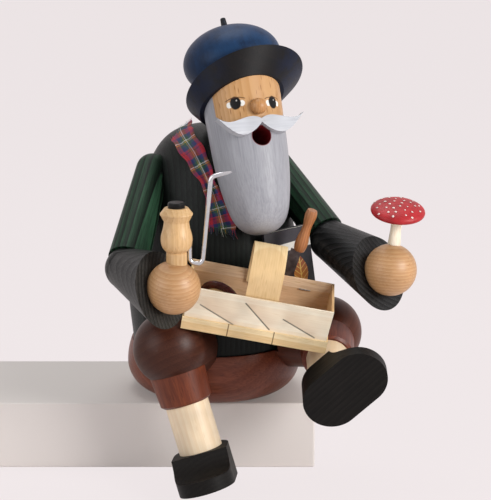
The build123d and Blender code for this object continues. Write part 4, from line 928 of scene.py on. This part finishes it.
def plainSurface(name, colour, own):
    material, tree, shader = freshMaterial(name)
    local = stretched(tree, objectPlace(tree), (1 / mm, 1 / mm, 1 / mm))
    base = hexColour(colour)
    shaded = [part * stage["cloudShade"] for part in base[:3]] + [1]
    tone = ramp(tree, noise(tree, local, stage["cloud"], 2.0), [(0.3, shaded), (0.7, base)])
    tree.links.new(tone, shader.inputs["Base Color"])
    shader.inputs["Roughness"].default_value = stage["rough"]
    shader.inputs["Specular IOR Level"].default_value = stage["shine"]
    # the eye and reflections see part of the surface at its own pale tone, and the shadow stays on the rest
    glow = putNode(tree, "ShaderNodeEmission", {"Color": base, "Strength": 1.0})
    share = times(tree, seenRay(tree), own)
    mix = putNode(tree, "ShaderNodeMixShader", {0: share, 1: shader.outputs[0], 2: glow.outputs[0]})
    tree.links.new(mix.outputs[0], tree.nodes["Material Output"].inputs["Surface"])
    return material


def makeFloor(look):
    bpy.ops.object.select_all(action="DESELECT")
    place = (*look["floorMiddle"], look["floorHeight"])
    bpy.ops.mesh.primitive_plane_add(size=look["floorSize"], location=place)
    piece = bpy.context.object
    piece.name = "floor"
    piece.data.materials.append(plainSurface("floor_plain", look["floorColour"], look["floorOwn"]))
    return piece


def makeStep(look):
    bpy.ops.object.select_all(action="DESELECT")
    bpy.ops.mesh.primitive_cube_add(size=1)
    piece = bpy.context.object
    piece.name = "step"
    low = Vector((look["stepStart"], look["stepFront"], look["floorHeight"]))
    high = Vector((look["stepEnd"], look["stepBack"], 0.0))
    piece.data.transform(Matrix.Translation((low + high) / 2) @ Matrix.Diagonal((*(high - low), 1)))
    rounded = piece.modifiers.new("rounded", "BEVEL")
    rounded.width = look["stepEdge"]
    rounded.segments = 3
    bpy.ops.object.modifier_apply(modifier="rounded")
    piece.data.materials.append(plainSurface("step_plain", look["stepColour"], look["stepOwn"]))
    return piece


floor = makeFloor(stage)
step = makeStep(stage)

# soft light, in metres and watts: a key lamp at the front right, weaker ones at the left and above
middle = (0.02, -0.04, 0.11)
lamps = {
    "key": {"place": (1.1, -0.85, 0.62), "size": 0.7, "power": 17.0, "colour": (1.0, 0.985, 0.965)},
    "fill": {"place": (-1.1, -0.8, 0.6), "size": 1.0, "power": 5.5, "colour": (0.97, 0.985, 1.0)},
    "top": {"place": (-0.1, 0.3, 1.3), "size": 0.9, "power": 6.0, "colour": (1.0, 1.0, 1.0)},
}


def aim(place, target):
    return (Vector(target) - Vector(place)).to_track_quat("-Z", "Y").to_euler()


def softLamp(name, look):
    bpy.ops.object.light_add(type="AREA", location=look["place"])
    lamp = bpy.context.object
    lamp.name = name
    lamp.data.shape = "DISK"
    lamp.data.size = look["size"]
    lamp.data.energy = look["power"]
    lamp.data.color = look["colour"]
    lamp.rotation_euler = aim(look["place"], middle)


for name, look in lamps.items():
    softLamp(name, look)

# the world lights softly, and is seen as pale as the floor
worldLook = {"light": (0.9, 0.89, 0.89, 1), "strength": 0.3}
world = bpy.data.worlds.new("studio")
bpy.context.scene.world = world
world.use_nodes = True
sky = world.node_tree
soft = sky.nodes["Background"]
soft.inputs["Color"].default_value = worldLook["light"]
soft.inputs["Strength"].default_value = worldLook["strength"]
paleSky = putNode(sky, "ShaderNodeBackground", {"Color": stage["floorColour"], "Strength": 1.0})
backdrop = putNode(sky, "ShaderNodeMixShader", {0: seenRay(sky), 1: soft.outputs[0], 2: paleSky.outputs[0]})
sky.links.new(backdrop.outputs[0], sky.nodes["World Output"].inputs["Surface"])

# camera at the photograph's place
view = {"eye": (0.023, -1.4052, 0.4202), "target": (0.023, -0.04, 0.11), "lens": 144.9, "sensor": 36,
        "farthest": 50}
bpy.ops.object.camera_add(location=view["eye"])
camera = bpy.context.object
camera.rotation_euler = aim(view["eye"], view["target"])
camera.data.lens = view["lens"]
camera.data.sensor_width = view["sensor"]
camera.data.clip_end = view["farthest"]
bpy.context.scene.camera = camera
bpy.context.scene.view_settings.view_transform = "Standard"
print("stage, light and camera set")
